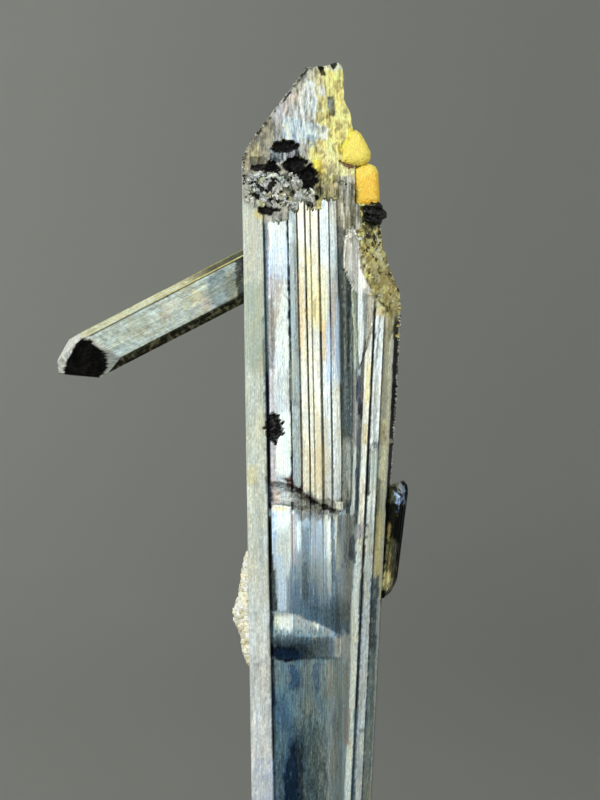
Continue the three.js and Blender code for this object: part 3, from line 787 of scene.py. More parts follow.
# Films of the right blade and the lens, which is the smooth facet that overlies its top. The first three are
# painted shade on facets that turn away from the light.
BLADE_FILMS = (
    Film(
        Tint.SHADE,
        ((61.5, 2.85, 3.45), (60.3, 3, 3.75), (59, 3.05, 4.15), (52, 3.15, 4.3), (47, 3.2, 4.3)),
        0.85, 0.07,
    ),
    Film(Tint.DEEP_SHADE, ((60, 2.95, 3.25), (54, 3.1, 3.4), (47, 3.15, 3.35)), 0.8, fade=1),
    Film(Tint.DEEP_SHADE, ((58.5, 3.7, 3.95), (50, 3.75, 4)), 0.75, fade=1),
    Film(Tint.STEEL, ((57, 4.02, 4.12), (44.5, 4.05, 4.15)), 0.6, 0.05, 1),
    Film(Tint.GREY, ((61, 3.4, 3.5), (47, 3.5, 3.6)), 0.6, 0.05, 1),
    Film(Tint.SLATE, ((50.5, 3.45, 4.1), (45, 3.5, 4.35)), 0.6, 0.15, 1.5),
    Film(Tint.GREY, ((44, 3.3, 4.2), (38, 3.3, 4.2)), 0.8, 0.1, 1, 0.1),
    Film(Tint.FROSTED, ((43.5, 3.75, 3.95), (39, 3.75, 4)), 0.5, 0.1, 1, 0.1),
    Film(Tint.SAGE, ((59, 4.2, 4.55), (54, 4.3, 4.7), (51, 4.45, 4.8)), 0.9, 0.07),
    Film(Tint.GREY, ((50.5, 4.35, 4.75), (47, 4.3, 4.65)), 0.8, 0.07),
    Film(Tint.GREY, ((58.5, 4.58, 4.8), (52, 4.72, 4.9)), 0.9, 0.04),
    Film(Tint.OLIVE, ((68, 3.45, 5), (65, 3.45, 5)), 0.85, 0.08, 0.4, 0.1),
    Film(Tint.CREAM, ((67, 3.6, 3.85), (64.5, 3.6, 3.8)), 0.7, 0.06, 0.4, 0.08),
    Film(Tint.BROWN, ((66.5, 4.25, 4.4), (64, 4.3, 4.42)), 0.8, 0.06, 0.4, 0.08),
    Film(
        Tint.PEARL,
        (
            (65.4, 4.1, 4.3), (64.3, 3.55, 4.8), (62, 3.4, 5), (61.1, 3.45, 5.1),
            (60.3, 3.75, 5.45), (59.7, 4.05, 5.8), (59.1, 4.3, 6.05), (58.6, 4.75, 6.3),
        ),
        1, 0.06, 0.2, 0.03, 0.1,
    ),
    Film(Tint.LEAD, ((64, 3.5, 3.75), (61, 3.5, 3.9), (59.6, 4.1, 4.5)), 0.7, 0.25, 0.8, 0.1),
    Film(Tint.SMOKE, ((58.9, 5.3, 5.8), (56, 5.4, 6.1), (54, 5.4, 5.8), (53, 5.4, 5.6)), 0.7, 0.12),
    Film(Tint.LEAD, ((60, 5.5, 5.9), (58.5, 5.75, 6.4), (57, 5.9, 6.46), (55.8, 6, 6.4))),
    Film(
        Tint.WHITE,
        ((58.9, 4.8, 5.25), (56, 4.82, 5.32), (53, 4.87, 5.33), (51.8, 4.92, 5.1), (51.3, 4.97, 5)),
        1, 0.03, 0.1, 0,
    ),
    Film(Tint.BROWN, ((54, 5.5, 5.6), (51.5, 5.1, 5.4), (49, 5.02, 5.35), (46, 5, 5.25)), 0.9, 0.05),
    Film(Tint.NAVY, ((50.3, 4.8, 5), (48.5, 4.65, 5.02), (46.6, 4.75, 5))),
    Film(Tint.INK, ((47.5, 4.8, 5.22), (43, 4.62, 5.05), (40.5, 4.55, 4.95), (37, 4.5, 4.8)), 0.8, 0.07),
    Film(Tint.LILAC, ((47.6, 4.58, 4.75), (45, 4.48, 4.68), (43, 4.4, 4.6)), 0.9, 0.04),
    Film(Tint.MINT, ((43.2, 4.4, 4.6), (40, 4.3, 4.55), (38, 4.2, 4.5), (36.5, 4, 4.3)), 0.9, 0.05),
    Film(
        Tint.INK,
        (
            (58, 6.42, 6.6), (54, 6.36, 6.54), (51, 6.1, 6.32), (48, 5.93, 6.2),
            (45, 5.8, 6.12), (41, 5.66, 6.06), (38.5, 5.56, 5.95),
        ),
        0.95, 0.05, 0.6, 0.04, 0.3,
    ),
    Film(Tint.SMOKE, ((57, 6.95, 7.08), (54.5, 6.82, 6.95), (52, 6.6, 6.7)), 0.8, 0.06, 0.6),
    Film(Tint.STRAW, ((51, 5.7, 6.02), (48, 5.6, 5.95)), 0.6, 0.12, 1.2),
    Film(Tint.SAND, ((45.5, 5.25, 5.7), (43.6, 5.2, 5.65)), 0.7, 0.1, 0.4, 0.08),
    Film(Tint.GREY, ((53, 6.55, 6.65), (44.5, 6.25, 6.35)), 0.75, 0.04),
    Film(Tint.SAGE, ((42.8, 6.1, 6.7), (39, 6.1, 6.6)), 0.6, 0.1),
    Film(Tint.GREY, ((43, 6.65, 6.95), (38.5, 6.6, 6.8)), 0.7),
    Film(Tint.GREY, ((55, 7.5, 7.9), (46, 7.25, 7.6)), 0.6, 0.12, 1),
    Film(Tint.CREAM, ((54, 8.15, 8.4), (45, 7.75, 8), (38, 7.45, 7.65)), 0.8, 0.06),
    Film(Tint.SAND, ((45.5, 7.1, 7.6), (43.5, 7.1, 7.6)), 0.7, 0.12, 0.5, 0.1),
    Film(Tint.CREAM, ((44, 7.85, 8.45), (43.6, 7.9, 8.45)), 0.9, 0.05, 0.1, 0),
    Film(Tint.SAND, ((60, 6.45, 8.7), (58.4, 6.55, 9.2), (56.4, 6.6, 9.2)), 0.9, 0.12, 0.5, 0.2),
    Film(Tint.UMBER, ((57.5, 7.9, 8.5), (54, 7.85, 8.2)), 0.7, 0.1, 0.6, 0.15),
    Film(Tint.MOSS, ((58.2, 8.5, 8.9), (55.5, 8.4, 9), (54, 8.4, 9.1)), 0.8, 0.1, 0.3, 0.2),
    Film(Tint.CREAM, ((59, 7.6, 7.9), (55.5, 7.6, 7.8)), 0.6, 0.08, 0.4, 0.15),
)
# Painted shade on the shoulder under the ochre, and the mottled olive further down.
SHOULDER_FILMS = (
    Film(Tint.DEEP_SHADE, ((67.6, 4.3, 7.2), (66.4, 4.6, 6.6), (65.3, 5.4, 6.4)), 0.9, 0.25, 0.3, 0.25, 0.9),
    Film(Tint.MOSS, ((66, 4.9, 6), (63.5, 5.2, 6.2)), 0.6, 0.3, 0.6, 0.3, 1.2),
    Film(Tint.UMBER, ((62.5, 5.3, 6), (60, 5.7, 6.6), (58, 6.4, 7.6)), 0.6, 0.25, 0.6, 0.3, 1.2),
    Film(Tint.STRAW, ((62, 6.3, 7.2), (59.5, 6.9, 7.9), (58, 7.6, 8.6)), 0.45, 0.25, 0.6, 0.3, 1.6),
    Film(Tint.UMBER, ((58.5, 8.1, 8.7), (56, 8.1, 8.8)), 0.6, 0.2, 0.6, 0.2, 1.2),
)
# Films of the face below the break: white and pale blue at the upper left, slate blue lower down.
LOWER_FILMS = (
    Film(Tint.PALE_BLUE, ((37.4, -3.9, -3.2), (33, -3.85, -3.3), (31, -3.8, -3.4)), 0.9, 0.12, 0.2),
    Film(
        Tint.MINT,
        ((36.6, -3.3, -1.7), (34.5, -3.3, -1.4), (32.5, -3.3, -1.7), (30.5, -3.3, -2.2)),
        0.95, 0.15, 1, 0.12, 0.7,
    ),
    Film(Tint.FROST, ((32.5, -3.35, -2.9), (30.5, -3.3, -2.4), (27, -3.15, -2.4)), 0.95, 0.15, 0.6),
    Film(Tint.LILAC, ((36.5, -2, -1.4), (33.5, -1.95, -1.4), (31.5, -1.9, -1.4)), 0.85, 0.12, 0.8),
    Film(Tint.MINT, ((35.6, -1.3, -1), (33, -1.2, -0.9)), 0.9, 0.05, 0.8),
    Film(Tint.STEEL, ((33, -1.15, -0.85), (28, -1, -0.8)), 0.7, 0.06),
    Film(Tint.SMOKE, ((38, -1.8, 3), (37, -1.5, 3), (36, -0.9, 2.6)), 0.85, 0.25, 0.6, 0.2, 0.7),
    Film(Tint.SLATE, ((35, -0.8, -0.1), (28, -0.7, -0.15)), 0.7, 0.1, 1),
    Film(Tint.STEEL, ((36, 0.1, 0.28), (30, 0.1, 0.3)), 0.7, 0.06, 0.8),
    Film(Tint.STEEL, ((35.5, 0.85, 1.05), (28.5, 0.9, 1.1)), 0.7, 0.06, 0.8),
    Film(Tint.LEAD, ((36, 1.3, 1.6), (33, 1.4, 1.6)), 0.7, 0.06, 0.8),
    Film(Tint.MINT, ((36, 1.6, 2.05), (32, 1.7, 2.1), (29, 1.75, 2.1)), 0.9, 0.06, 2),
    Film(Tint.STEEL, ((31.5, 0.3, 2.1), (27.5, 1.2, 2.1)), 0.5, 0.2, 1.5, 0.1, 1.2),
    Film(Tint.LILAC, ((36.2, 0.45, 0.6), (32, 0.45, 0.62)), 0.7, 0.05, 1),
    Film(Tint.SLATE, ((36.2, 2.1, 2.4), (30, 2.15, 2.5)), 0.85, fade=1.5),
    Film(Tint.FROSTED, ((36.3, 2.5, 2.75), (31, 2.6, 2.85)), 0.8, 0.06, 0.8),
    Film(Tint.GREY, ((36.4, 2.9, 3.9), (26, 2.8, 3.7)), 0.75, 0.15, 1),
    Film(Tint.SLATE, ((27.4, 0.2, 3.8), (26.2, 1, 3.8), (24.9, 2, 3.8)), 0.6, 0.6, 0.5, 0.2, 0.9),
    Film(Tint.SHADE, ((28, 2.2, 3.9), (25.5, 2.3, 3.8), (24.2, 2.6, 3.8)), 0.35, 0.5, 2, 0.15, 0.7),
    # Painted shade in the left groove.
    Film(
        Tint.DEEP_SHADE,
        ((36.3, -4.2, -3.9), (33, -4.22, -3.85), (30, -4.1, -3.45), (26.9, -4, -3.3)),
        0.95, 0.06, 0.4, 0.02,
    ),
    Film(Tint.INK, ((35.8, -4.2, -3.95), (33, -4.22, -3.92), (30.5, -4.15, -3.9)), 0.9, 0.05, 0.5, 0.02),
)
# Films of the kink: a pale step above, blue-black below it; the pale is painted highlight and the blue-black
# painted shade, over the band's own relief.
KINK_FILMS = (
    Film(Tint.SAGE, ((26.7, -3.7, -3), (24.5, -3.7, -3)), 0.9, 0.1, 0.4, 0.03, 0.2),
    Film(Tint.CREAM, ((26.7, -3, -1.8), (24.6, -3, -1.8)), 0.5, 0.25, 0.7, 0.03, 0.2),
    Film(Tint.GREY, ((26.5, -1.7, -1.5), (24.8, -1.65, -1.45)), 0.4, 0.15, 0.5, 0.03, 0.2),
    Film(Tint.GREY, ((26.6, -1.4, 0.2), (24.6, -1.3, 0.2)), 0.9, 0.2, 0.7, 0.03, 0.2),
    Film(Tint.CREAM, ((26, 0.35, 0.9), (24.9, 0.35, 0.9)), 0.7, 0.1, 0.5, 0.03, 0.2),
    Film(Tint.GREY, ((25.8, 0.9, 2.3), (24.5, 0.9, 2.3)), 0.85, 0.15, 0.6, 0.03, 0.2),
    # Painted shade in the left groove.
    Film(Tint.DUSK, ((27, -4, -3.6), (24.6, -4, -3.6)), 0.95, 0.07),
    Film(Tint.TEAL, ((24.9, -4, 1), (21.8, -3.9, 1.2)), 0.7, 0.9, 0.9, 0.25, 0.9),
    Film(Tint.GREY, ((24.4, 0.4, 2.6), (21.8, 0.2, 2.6)), 0.6, 0.6, 0.9, 0.15, 0.9),
    Film(Tint.SLATE, ((24.4, -4, -0.8), (21.6, -3.8, 0.2)), 0.8, 0.9, 1.1, 0.3, 0.9),
    Film(Tint.DUSK, ((23.5, -3.9, -0.8), (22.6, -3.9, -0.2), (21.6, -3.8, -0.4)), 0.5, 0.8, 0.6, 0.15),
    Film(Tint.NAVY, ((23.3, -3.8, -1.8), (22.4, -3.8, -1.2), (21.6, -3.8, -1.6)), 0.75, 0.7, 0.4, 0.15),
    Film(Tint.BLUE, ((23, -3.4, -0.9), (22, -3.3, -1.1)), 0.3, 0.5, 0.4, 0.2, 0.9),
    Film(Tint.BROWN, ((24.3, 2.2, 2.5), (22.8, 2.2, 2.5)), 0.5, 0.1),
    Film(Tint.CREAM, ((24.2, 2.35, 3.1), (22.3, 2.35, 3.1)), 0.85, 0.12, 0.5, 0.1, 0.7),
    Film(Tint.LEAD, ((24.5, 3.2, 3.9), (22.2, 3.2, 3.9)), 0.7, 0.1, 0.6, 0.06, 0.7),
)
# Films of the lowest part: steel and teal with deep blue spots, and the blade's two white stripes.
BOTTOM_FILMS = (
    # Painted shade in the left groove.
    Film(Tint.DUSK, ((22, -3.9, -3.55), (17.5, -3.8, -3.5)), 0.85, 0.1, 0.8),
    Film(Tint.STEEL, ((22, -3.3, -2), (19.5, -3.3, -2.2)), 0.4, 0.6, 1.5, 0.3),
    Film(Tint.BLUE, ((21.2, -1.9, -1.3), (20, -1.7, -0.9), (19, -2.1, -1.2)), 0.7, 0.4, 0.5, 0.35, 0.9),
    Film(Tint.GREY, ((22, -0.9, 0.2), (17.5, -0.8, 0.2)), 0.35, 0.3, 1.5, 0.3),
    Film(Tint.BLUE, ((21.7, 0.5, 0.85), (20.4, 0.3, 0.8), (19.3, 0.5, 0.95)), 0.6, 0.3, 0.6, 0.25, 0.9),
    Film(Tint.SAND, ((21.5, 1.75, 2.2), (18.5, 1.8, 2.2)), 0.4, 0.2, 1.2, 0.15, 0.7),
    Film(Tint.BLUE, ((18.5, -3.6, -2.6), (16.5, -3.3, -2.2), (14.8, -3.2, -1.6)), 0.4, 0.6, 1, 0.3, 0.9),
    Film(Tint.GREY, ((18.5, -1.2, 0.1), (16.5, -0.9, 0.3)), 0.3, 0.4, 1.5, 0.3),
    Film(Tint.DUSK, ((12, -3.4, -2.6), (0, -3.1, -2.4)), 0.6, 0.4, 2.5, 0.2, 0.8),
    Film(Tint.BLUE, ((14.2, -2, -0.8), (11, -2.5, -0.8), (0, -2.2, -0.7)), 0.7, 0.4, 1.5, 0.2),
    Film(Tint.NAVY, ((13.4, -1.8, -1), (10, -2.4, -0.95), (0, -2.2, -0.8)), 0.88, 0.4, 2, 0.25, 0.8),
    Film(Tint.SHADE, ((16, -1.4, 0.8), (10, -0.9, 1.6), (0, -0.7, 1.9)), 0.65, 0.5, 2.5, 0.25, 1),
    Film(Tint.LEAD, ((13.5, 1.9, 2.7), (10.5, 1.9, 2.6)), 0.5, 0.2, 1.2, 0.2, 0.7),
    Film(Tint.SILVER, ((21, 1.75, 2.4), (12, 1.8, 2.3), (0, 1.6, 2.1)), 0.6, 0.15, 1, 0.12, 1.6),
    Film(Tint.GREY, ((22, 2, 2.75), (12, 2.1, 2.65), (0, 1.9, 2.5)), 0.4, 0.15, 1, 0.12),
    Film(Tint.STEEL, ((21.5, 2.8, 3.3), (10, 2.85, 3.35), (0, 2.5, 2.9)), 0.6, 0.12),
    Film(Tint.GREY, ((21.5, 3.35, 3.8), (14, 3.4, 3.85)), 0.8, 0.1),
    Film(Tint.SKY, ((11, -5.4, -3.6), (0, -5.3, -3.3)), 0.45, 0.5, 3.5, 0.3, 1.3),
)
# Films of the right blade below the break.
FOOT_FILMS = (
    Film(Tint.DUSK, ((41, 4.55, 4.85), (37, 4.5, 4.8), (35.5, 4.4, 4.7)), 0.9, 0.05),
    Film(Tint.LILAC, ((35.6, 4.8, 5.5), (34.2, 4.8, 5.4)), 0.9, 0.1, 0.3, 0.1),
    Film(Tint.GREY, ((36, 3.8, 4.3), (28, 3.6, 4.2)), 0.7, 0.1, 0.6, 0.1),
    Film(Tint.MINT, ((33.6, 4.5, 5), (30, 4.4, 4.95), (28.5, 4.25, 4.85)), 0.9, 0.07),
    Film(Tint.MINT, ((30.5, 4.4, 5), (27.5, 4.2, 4.8)), 0.7, 0.1, 0.8),
    Film(Tint.MINT, ((28.5, 4.2, 4.85), (22, 4.05, 4.6), (18, 4, 4.45), (14, 3.95, 4.25)), 0.8, 0.06),
    Film(Tint.CREAM, ((27, 4.3, 4.6), (17, 4.05, 4.3)), 0.5, 0.1, 2),
    Film(Tint.MINT, ((13.5, 3.75, 4.2), (12, 3.6, 4.15), (8, 3.45, 4), (0, 3.05, 3.65))),
    Film(Tint.ROSE, ((17, 3.4, 3.95), (13.5, 3.4, 3.9)), 0.8),
    Film(Tint.DUSK, ((30, 5, 5.3), (22, 4.7, 4.9), (17, 4.5, 4.75)), 0.9, 0.05),
    Film(Tint.TEAL, ((17, 4.4, 4.75), (12, 4.25, 4.6), (6, 4.1, 4.4), (0, 3.8, 4.1)), 0.85, 0.06),
    Film(Tint.DEEP_SHADE, ((35.5, 5.5, 5.85), (34, 5.45, 5.8))),
    Film(Tint.FROSTED, ((35, 5.6, 6.1), (31, 5.4, 6), (28, 5.3, 5.85)), 0.7, 0.1, 0.6),
    Film(Tint.MOSS, ((40, 6.75, 7), (33, 6.5, 6.75)), 0.8, 0.06),
    Film(Tint.STRAW, ((36.5, 6.8, 7.45), (33, 6.5, 7.3), (30.4, 6.5, 6.9)), 0.7, 0.15, 1.2, 0.12, 0.8),
    Film(Tint.CREAM, ((38.5, 7.3, 7.6), (33.5, 7.2, 7.5), (29, 7, 7.3)), 0.85, 0.05),
    Film(Tint.TEAL, ((30, 6.1, 6.95), (22, 5.85, 6.6), (0, 4.8, 5.6)), 0.88, 0.1, 1.6, 0.1, 0.8),
    Film(Tint.DUSK, ((29, 6.1, 6.8), (23, 5.9, 6.55)), 0.7, 0.15, 2.5, 0.1, 0.7),
    Film(Tint.SILVER, ((28, 6.7, 7.1), (16, 6.4, 6.8), (0, 5.55, 5.95)), 0.8, 0.05, 0.6, 0.05, 0.8),
    Film(Tint.GREY, ((12, 5.4, 6), (0, 4.9, 5.5)), 0.6, 0.12, 1, 0.1),
    Film(Tint.SMOKE, ((15.1, 4.9, 5.5), (14.9, 4.9, 5.5)), 0.8, 0.1, 0.08, 0.03),
    Film(Tint.INK, ((33.6, 5.15, 5.5), (31.4, 5.15, 5.5)), 0.9, 0.06, 0.3, 0.2, 0.9),
    Film(Tint.DUSK, ((34.4, 4, 4.4), (32, 3.9, 4.45)), 0.85, 0.1, 0.3, 0.25, 1.1),
    Film(Tint.DUSK, ((43.9, 6.25, 6.75), (43, 6.3, 6.8)), 0.85, 0.1, 0.15, 0.2, 1),
)
# The break: dark cracks round pale fragments and grey rubble.
BREAK_FILMS = (
    Film(Tint.GREY, ((38.8, -1.7, 0.1), (37.2, -1.4, 0.8)), 0.9, 0.15, 0.15, 0.15),
    Film(Tint.SMOKE, ((38.3, -0.5, 0.6), (37, -0.3, 1)), 0.85, 0.15, 0.15, 0.2),
    Film(Tint.PINK, ((38.9, -3.6, -3), (37.7, -3.6, -3)), 0.95, 0.06, 0.1),
    Film(Tint.WHITE, ((38.7, -2.9, -1.7), (37.8, -3, -1.65)), 0.95, 0.08, 0.12, 0.08),
    Film(Tint.CREAM, ((37.35, -3.8, -2.2), (36.8, -3.7, -2.1)), 0.9, 0.1, 0.1),
    Film(Tint.CREAM, ((37.8, 2.55, 3.2), (36.9, 2.6, 3.2)), fade=0.15),
    Film(Tint.STRAW, ((37.2, -3.6, -2.6), (36.9, -3.5, -2.7)), 0.5, 0.15, 0.12),
    # Painted shade in the left groove.
    Film(Tint.DUSK, ((39, -4.3, -3.85), (37.2, -4.3, -3.85)), fade=0.3),
    Film(Tint.RUST, ((40.1, -2.4, -1.8), (39.3, -2.3, -1.7)), 0.85, 0.1, 0.2, 0.15),
    Film(Tint.RUST, ((39.3, -1.6, -0.9), (38.6, -1.3, -0.6)), 0.85, 0.1, 0.2, 0.2, 0.8),
    Film(Tint.DEEP_SHADE, ((38.3, -1, 0.2), (37.7, -0.4, 0.6)), 0.7, 0.15, 0.2, 0.2, 1),
    Film(Tint.INK, ((39.1, -1.25, -0.9), (38.7, -1.2, -0.9)), 0.9, 0.05, 0.1),
    Film(Tint.BROWN, ((38.4, -1.3, 0), (38, -1, 0.3)), 0.7, 0.1, 0.2, 0.2),
    Film(Tint.INK, ((37.9, 0, 0.4), (37.5, 0, 0.5)), 0.85, 0.06, 0.12, 0.08),
    Film(Tint.INK, ((37.5, 1.1, 1.7), (37, 1.2, 1.8)), 0.9, 0.06, 0.12, 0.08),
    Film(Tint.INK, ((37, 1.9, 2.5), (36.6, 2, 2.5)), 0.9, 0.06, 0.12, 0.08),
)
# The fine cracks round the break, as (x, height) along each.
CRACKS = (
    ((-3.9, 39.4), (-2.7, 39.2), (-1.8, 38.75), (-1, 38.8), (-0.4, 38.3), (0.1, 37.7), (0.6, 37.2)),
    ((-3.4, 37.55), (-1.8, 37.4), (-1.1, 37.1), (-0.7, 37)),
    ((-2.7, 40), (-1.7, 39.6), (-1.5, 39.1)),
    ((0.9, 36.5), (1.4, 37.3), (2.3, 36.8), (2.6, 36.7)),
    ((3.9, 37.2), (4.1, 36.4)),
)
# Films and stains of the tip's woody front face.
TIP_FILMS = (
    Film(Tint.UMBER, ((76, -5, -3.8), (74, -6, -3.4), (70.5, -6.8, -4.5)), 0.5, 0.4, 0.5, 0.3, 0.8),
    Film(Tint.STRAW, ((73.4, -5.6, -5), (72, -5.8, -5.2)), 0.5, 0.3, 0.5, 0.3),
    Film(Tint.LILAC, ((78, -3, -1.8), (75.8, -3.8, -1.8)), 0.7, 0.3, 0.5, 0.3),
    Film(Tint.PINK, ((78.5, -2.2, -0.6), (76.2, -2.6, -0.8)), 0.6, 0.3, 0.5, 0.3, 1),
    Film(Tint.CREAM, ((80, -0.7, -0.3), (77, -1.4, 0.5), (76, -1.2, 0.4)), 0.85, 0.25, 0.6, 0.3),
    Film(Tint.WHITE, ((79.5, 0.8, 1.5), (78.5, 1.1, 1.6)), 0.7, 0.2, 0.3, 0.2),
    Film(Tint.STEEL, ((78, -1.9, -1.3), (76, -2.6, -1.8)), 0.5, 0.2, 0.5, 0.2),
    Film(Tint.FROST, ((76.4, -2.8, -2.3), (75.6, -2.8, 0.6), (74, -2.6, 0.9)), 0.95, 0.25, 0.3, 0.3, 0.9),
    Film(Tint.TEAL, ((74.3, -0.1, 0.6), (73.4, -0.2, 0.7)), 0.6, 0.2, 0.3, 0.3),
    Film(Tint.WHITE, ((75.3, 1.1, 1.8), (73.9, 1.1, 1.7)), 0.8, 0.15, 0.2, 0.15),
    Film(Tint.UMBER, ((76.8, 0.8, 1.9), (76, 0.6, 2)), 0.6, 0.25, 0.3, 0.3),
    Film(Tint.STRAW, ((73.3, 0, 3), (71, 0.2, 3.2)), 0.8, 0.3, 0.4, 0.3),
    Film(Tint.UMBER, ((73, 0.5, 1.2), (72.4, 0.4, 1.1)), 0.6, 0.2, 0.3, 0.3),
    Film(Tint.YELLOW, ((72, 0.35, 1), (71, 0.4, 1.05)), 0.95, 0.15, 0.2, 0.12),
    Film(Tint.YELLOW, ((75.2, 4.2, 5), (73.6, 3.2, 5.5), (71.9, 2.6, 5.5)), 0.9, 0.25, 0.3, 0.2),
    Film(Tint.CREAM, ((71.9, 1.6, 4), (70.4, 1.5, 4.6)), 0.9, 0.25, 0.2, 0.2),
    Film(Tint.UMBER, ((72.2, 2.6, 4), (71, 3, 4.5)), 0.7, 0.25, 0.25, 0.2),
    Film(Tint.RUST, ((71.8, 3, 3.7), (71.3, 3.2, 4.4), (71, 3.7, 4.5)), 0.97, 0.1, 0.12, 0.05),
    Film(Tint.MOSS, ((70.8, 0.4, 2.6), (70, 0.6, 3.4), (68, 0.6, 3.2)), 0.85, 0.25, 0.3, 0.4, 1),
    Film(Tint.SAND, ((69.6, 1.6, 2.6), (68.5, 1.2, 3)), 0.6, 0.2, 0.3, 0.4),
    Film(Tint.LEAD, ((70, 3.3, 4.6), (67.4, 3.4, 4.6)), 0.85, 0.1, 0.3, 0.1),
    Film(Tint.WHITE, ((69.8, 3.5, 3.8), (67.6, 3.55, 3.8)), 0.7, 0.08, 0.3, 0.1),
    Film(Tint.INK, ((71, 0.2, 0.9), (68.5, 0.3, 1.1)), 0.8, 0.15, 0.2, 0.2),
    Film(Tint.DUSK, ((73.1, -4, -1.2), (71.8, -3.9, -0.9)), 0.95, 0.15, 0.12, 0.15, 0.4),
    Film(Tint.STEEL, ((72.9, -3.8, -3.1), (72.2, -3.7, -3)), 0.7, 0.12, 0.15, 0.2, 0.9),
    Film(Tint.LILAC, ((72.8, -2.2, -1.5), (72.2, -2.1, -1.4)), 0.6, 0.12, 0.15, 0.2, 0.9),
    Film(Tint.INK, ((72.5, -1.4, -0.7), (71.9, -2.2, -0.6)), 0.9, 0.15, 0.2, 0.2),
    Film(Tint.INK, ((73.2, -2.75, -2.65), (72, -2.75, -2.65)), 0.9, 0.04, 0.1, 0.03),
    Film(Tint.WHITE, ((73.4, -2.6, -2.4), (71.9, -2.6, -2.4)), 1, 0.03, 0.06, 0.01, 0.1),
    Film(Tint.INK, ((72.3, -6, -4.4), (71.2, -5.9, -4.5)), 0.8, 0.2, 0.2, 0.25),
    Film(Tint.MINT, ((80, -0.2, 0.5), (78.5, -0.1, 0.6), (77, 0.1, 0.6)), 0.95, 0.1, 0.3, 0.15),
    Film(Tint.MINT, ((79.2, -0.9, -0.3), (77.3, -1.1, -0.2), (76.6, -1.1, -0.7)), 0.95, 0.1, 0.3, 0.15),
    Film(Tint.FROSTED, ((82.2, -0.8, 3.5), (81.2, -0.8, 3.5)), 0.75, 0.2, 0.3, 0.1),
    Film(Tint.YELLOW, ((73, -0.2, 0.7), (70.5, 0.9, 1.6)), 0.35, 0.3, 0.4, 0.2, 0.8),
    Film(Tint.WHITE, ((68.4, -5.3, -3), (67.6, -5.3, -2.7)), 0.85, 0.15, 0.15, 0.15),
    Film(Tint.INK, ((82, 0.72, 1.25), (81.2, 0.85, 1.5), (80.6, 1.15, 1.5)), 0.98, 0.06, 0.12, 0.08, 0.3),
    Film(Tint.INK, ((82.3, 2.05, 2.75), (81.6, 2.1, 2.7), (81.2, 2.3, 2.6)), 0.98, 0.06, 0.1, 0.06, 0.3),
    Film(Tint.SHADE, ((78.5, 1.75, 2.3), (77.6, 1.8, 2.45), (76.5, 1.95, 2.4)), 0.9, 0.08, 0.15, 0.08, 0.3),
    Film(Tint.STEEL, ((78, 1.85, 2.15), (77.2, 1.95, 2.2)), 0.8, 0.08, 0.15, 0.05, 0.3),
    Film(Tint.STRAW, ((72.4, 1.4, 4.2), (71.2, 1.5, 4.6), (70.3, 2, 4.6)), 1, 0.3, 0.3, 0.3, 0.6),
    Film(Tint.RUST, ((71.9, 3, 3.6), (71.4, 3.3, 4.4), (71.2, 3.7, 4.5)), 0.97, 0.1, 0.12, 0.1, 0.4),
)


@dataclass
class Coat:
    """A surface's colours while films and stains are laid on them.

    Attributes:
        x, y, z: the surface's places, in millimetres.
        front: 1 on the front and 0 on the back.
        tint: the colours so far.
        polish: the roughness so far.
    """

    x: Array
    y: Array
    z: Array
    front: Array
    tint: Array
    polish: Array

    def __post_init__(self) -> None:
        """Works out the clouds and the flecks that move the stains' edges."""
        self.cloud = noise(self.x / 0.9, self.z / 2.6, 81, 3)
        self.fleck = noise(self.x / 0.16, self.z / 0.5, 82, 2)

    def stain(self, colour: Array, share: Array) -> None:
        """Blends a colour in."""
        self.tint = blend(self.tint, colour, share)

    def shade(self, change: Array) -> None:
        """Makes places lighter or darker."""
        self.tint = shaded(self.tint, change)

    def lay(self, films: Sequence[Film]) -> None:
        """Lays films one over another."""
        self.tint = self.over(self.tint, films)

    def over(self, under: Array, films: Sequence[Film]) -> Array:
        """The colours that films give when they are laid over some others."""
        for film in films:
            under = film.lay(under, self.x, self.z, self.front)
        return under


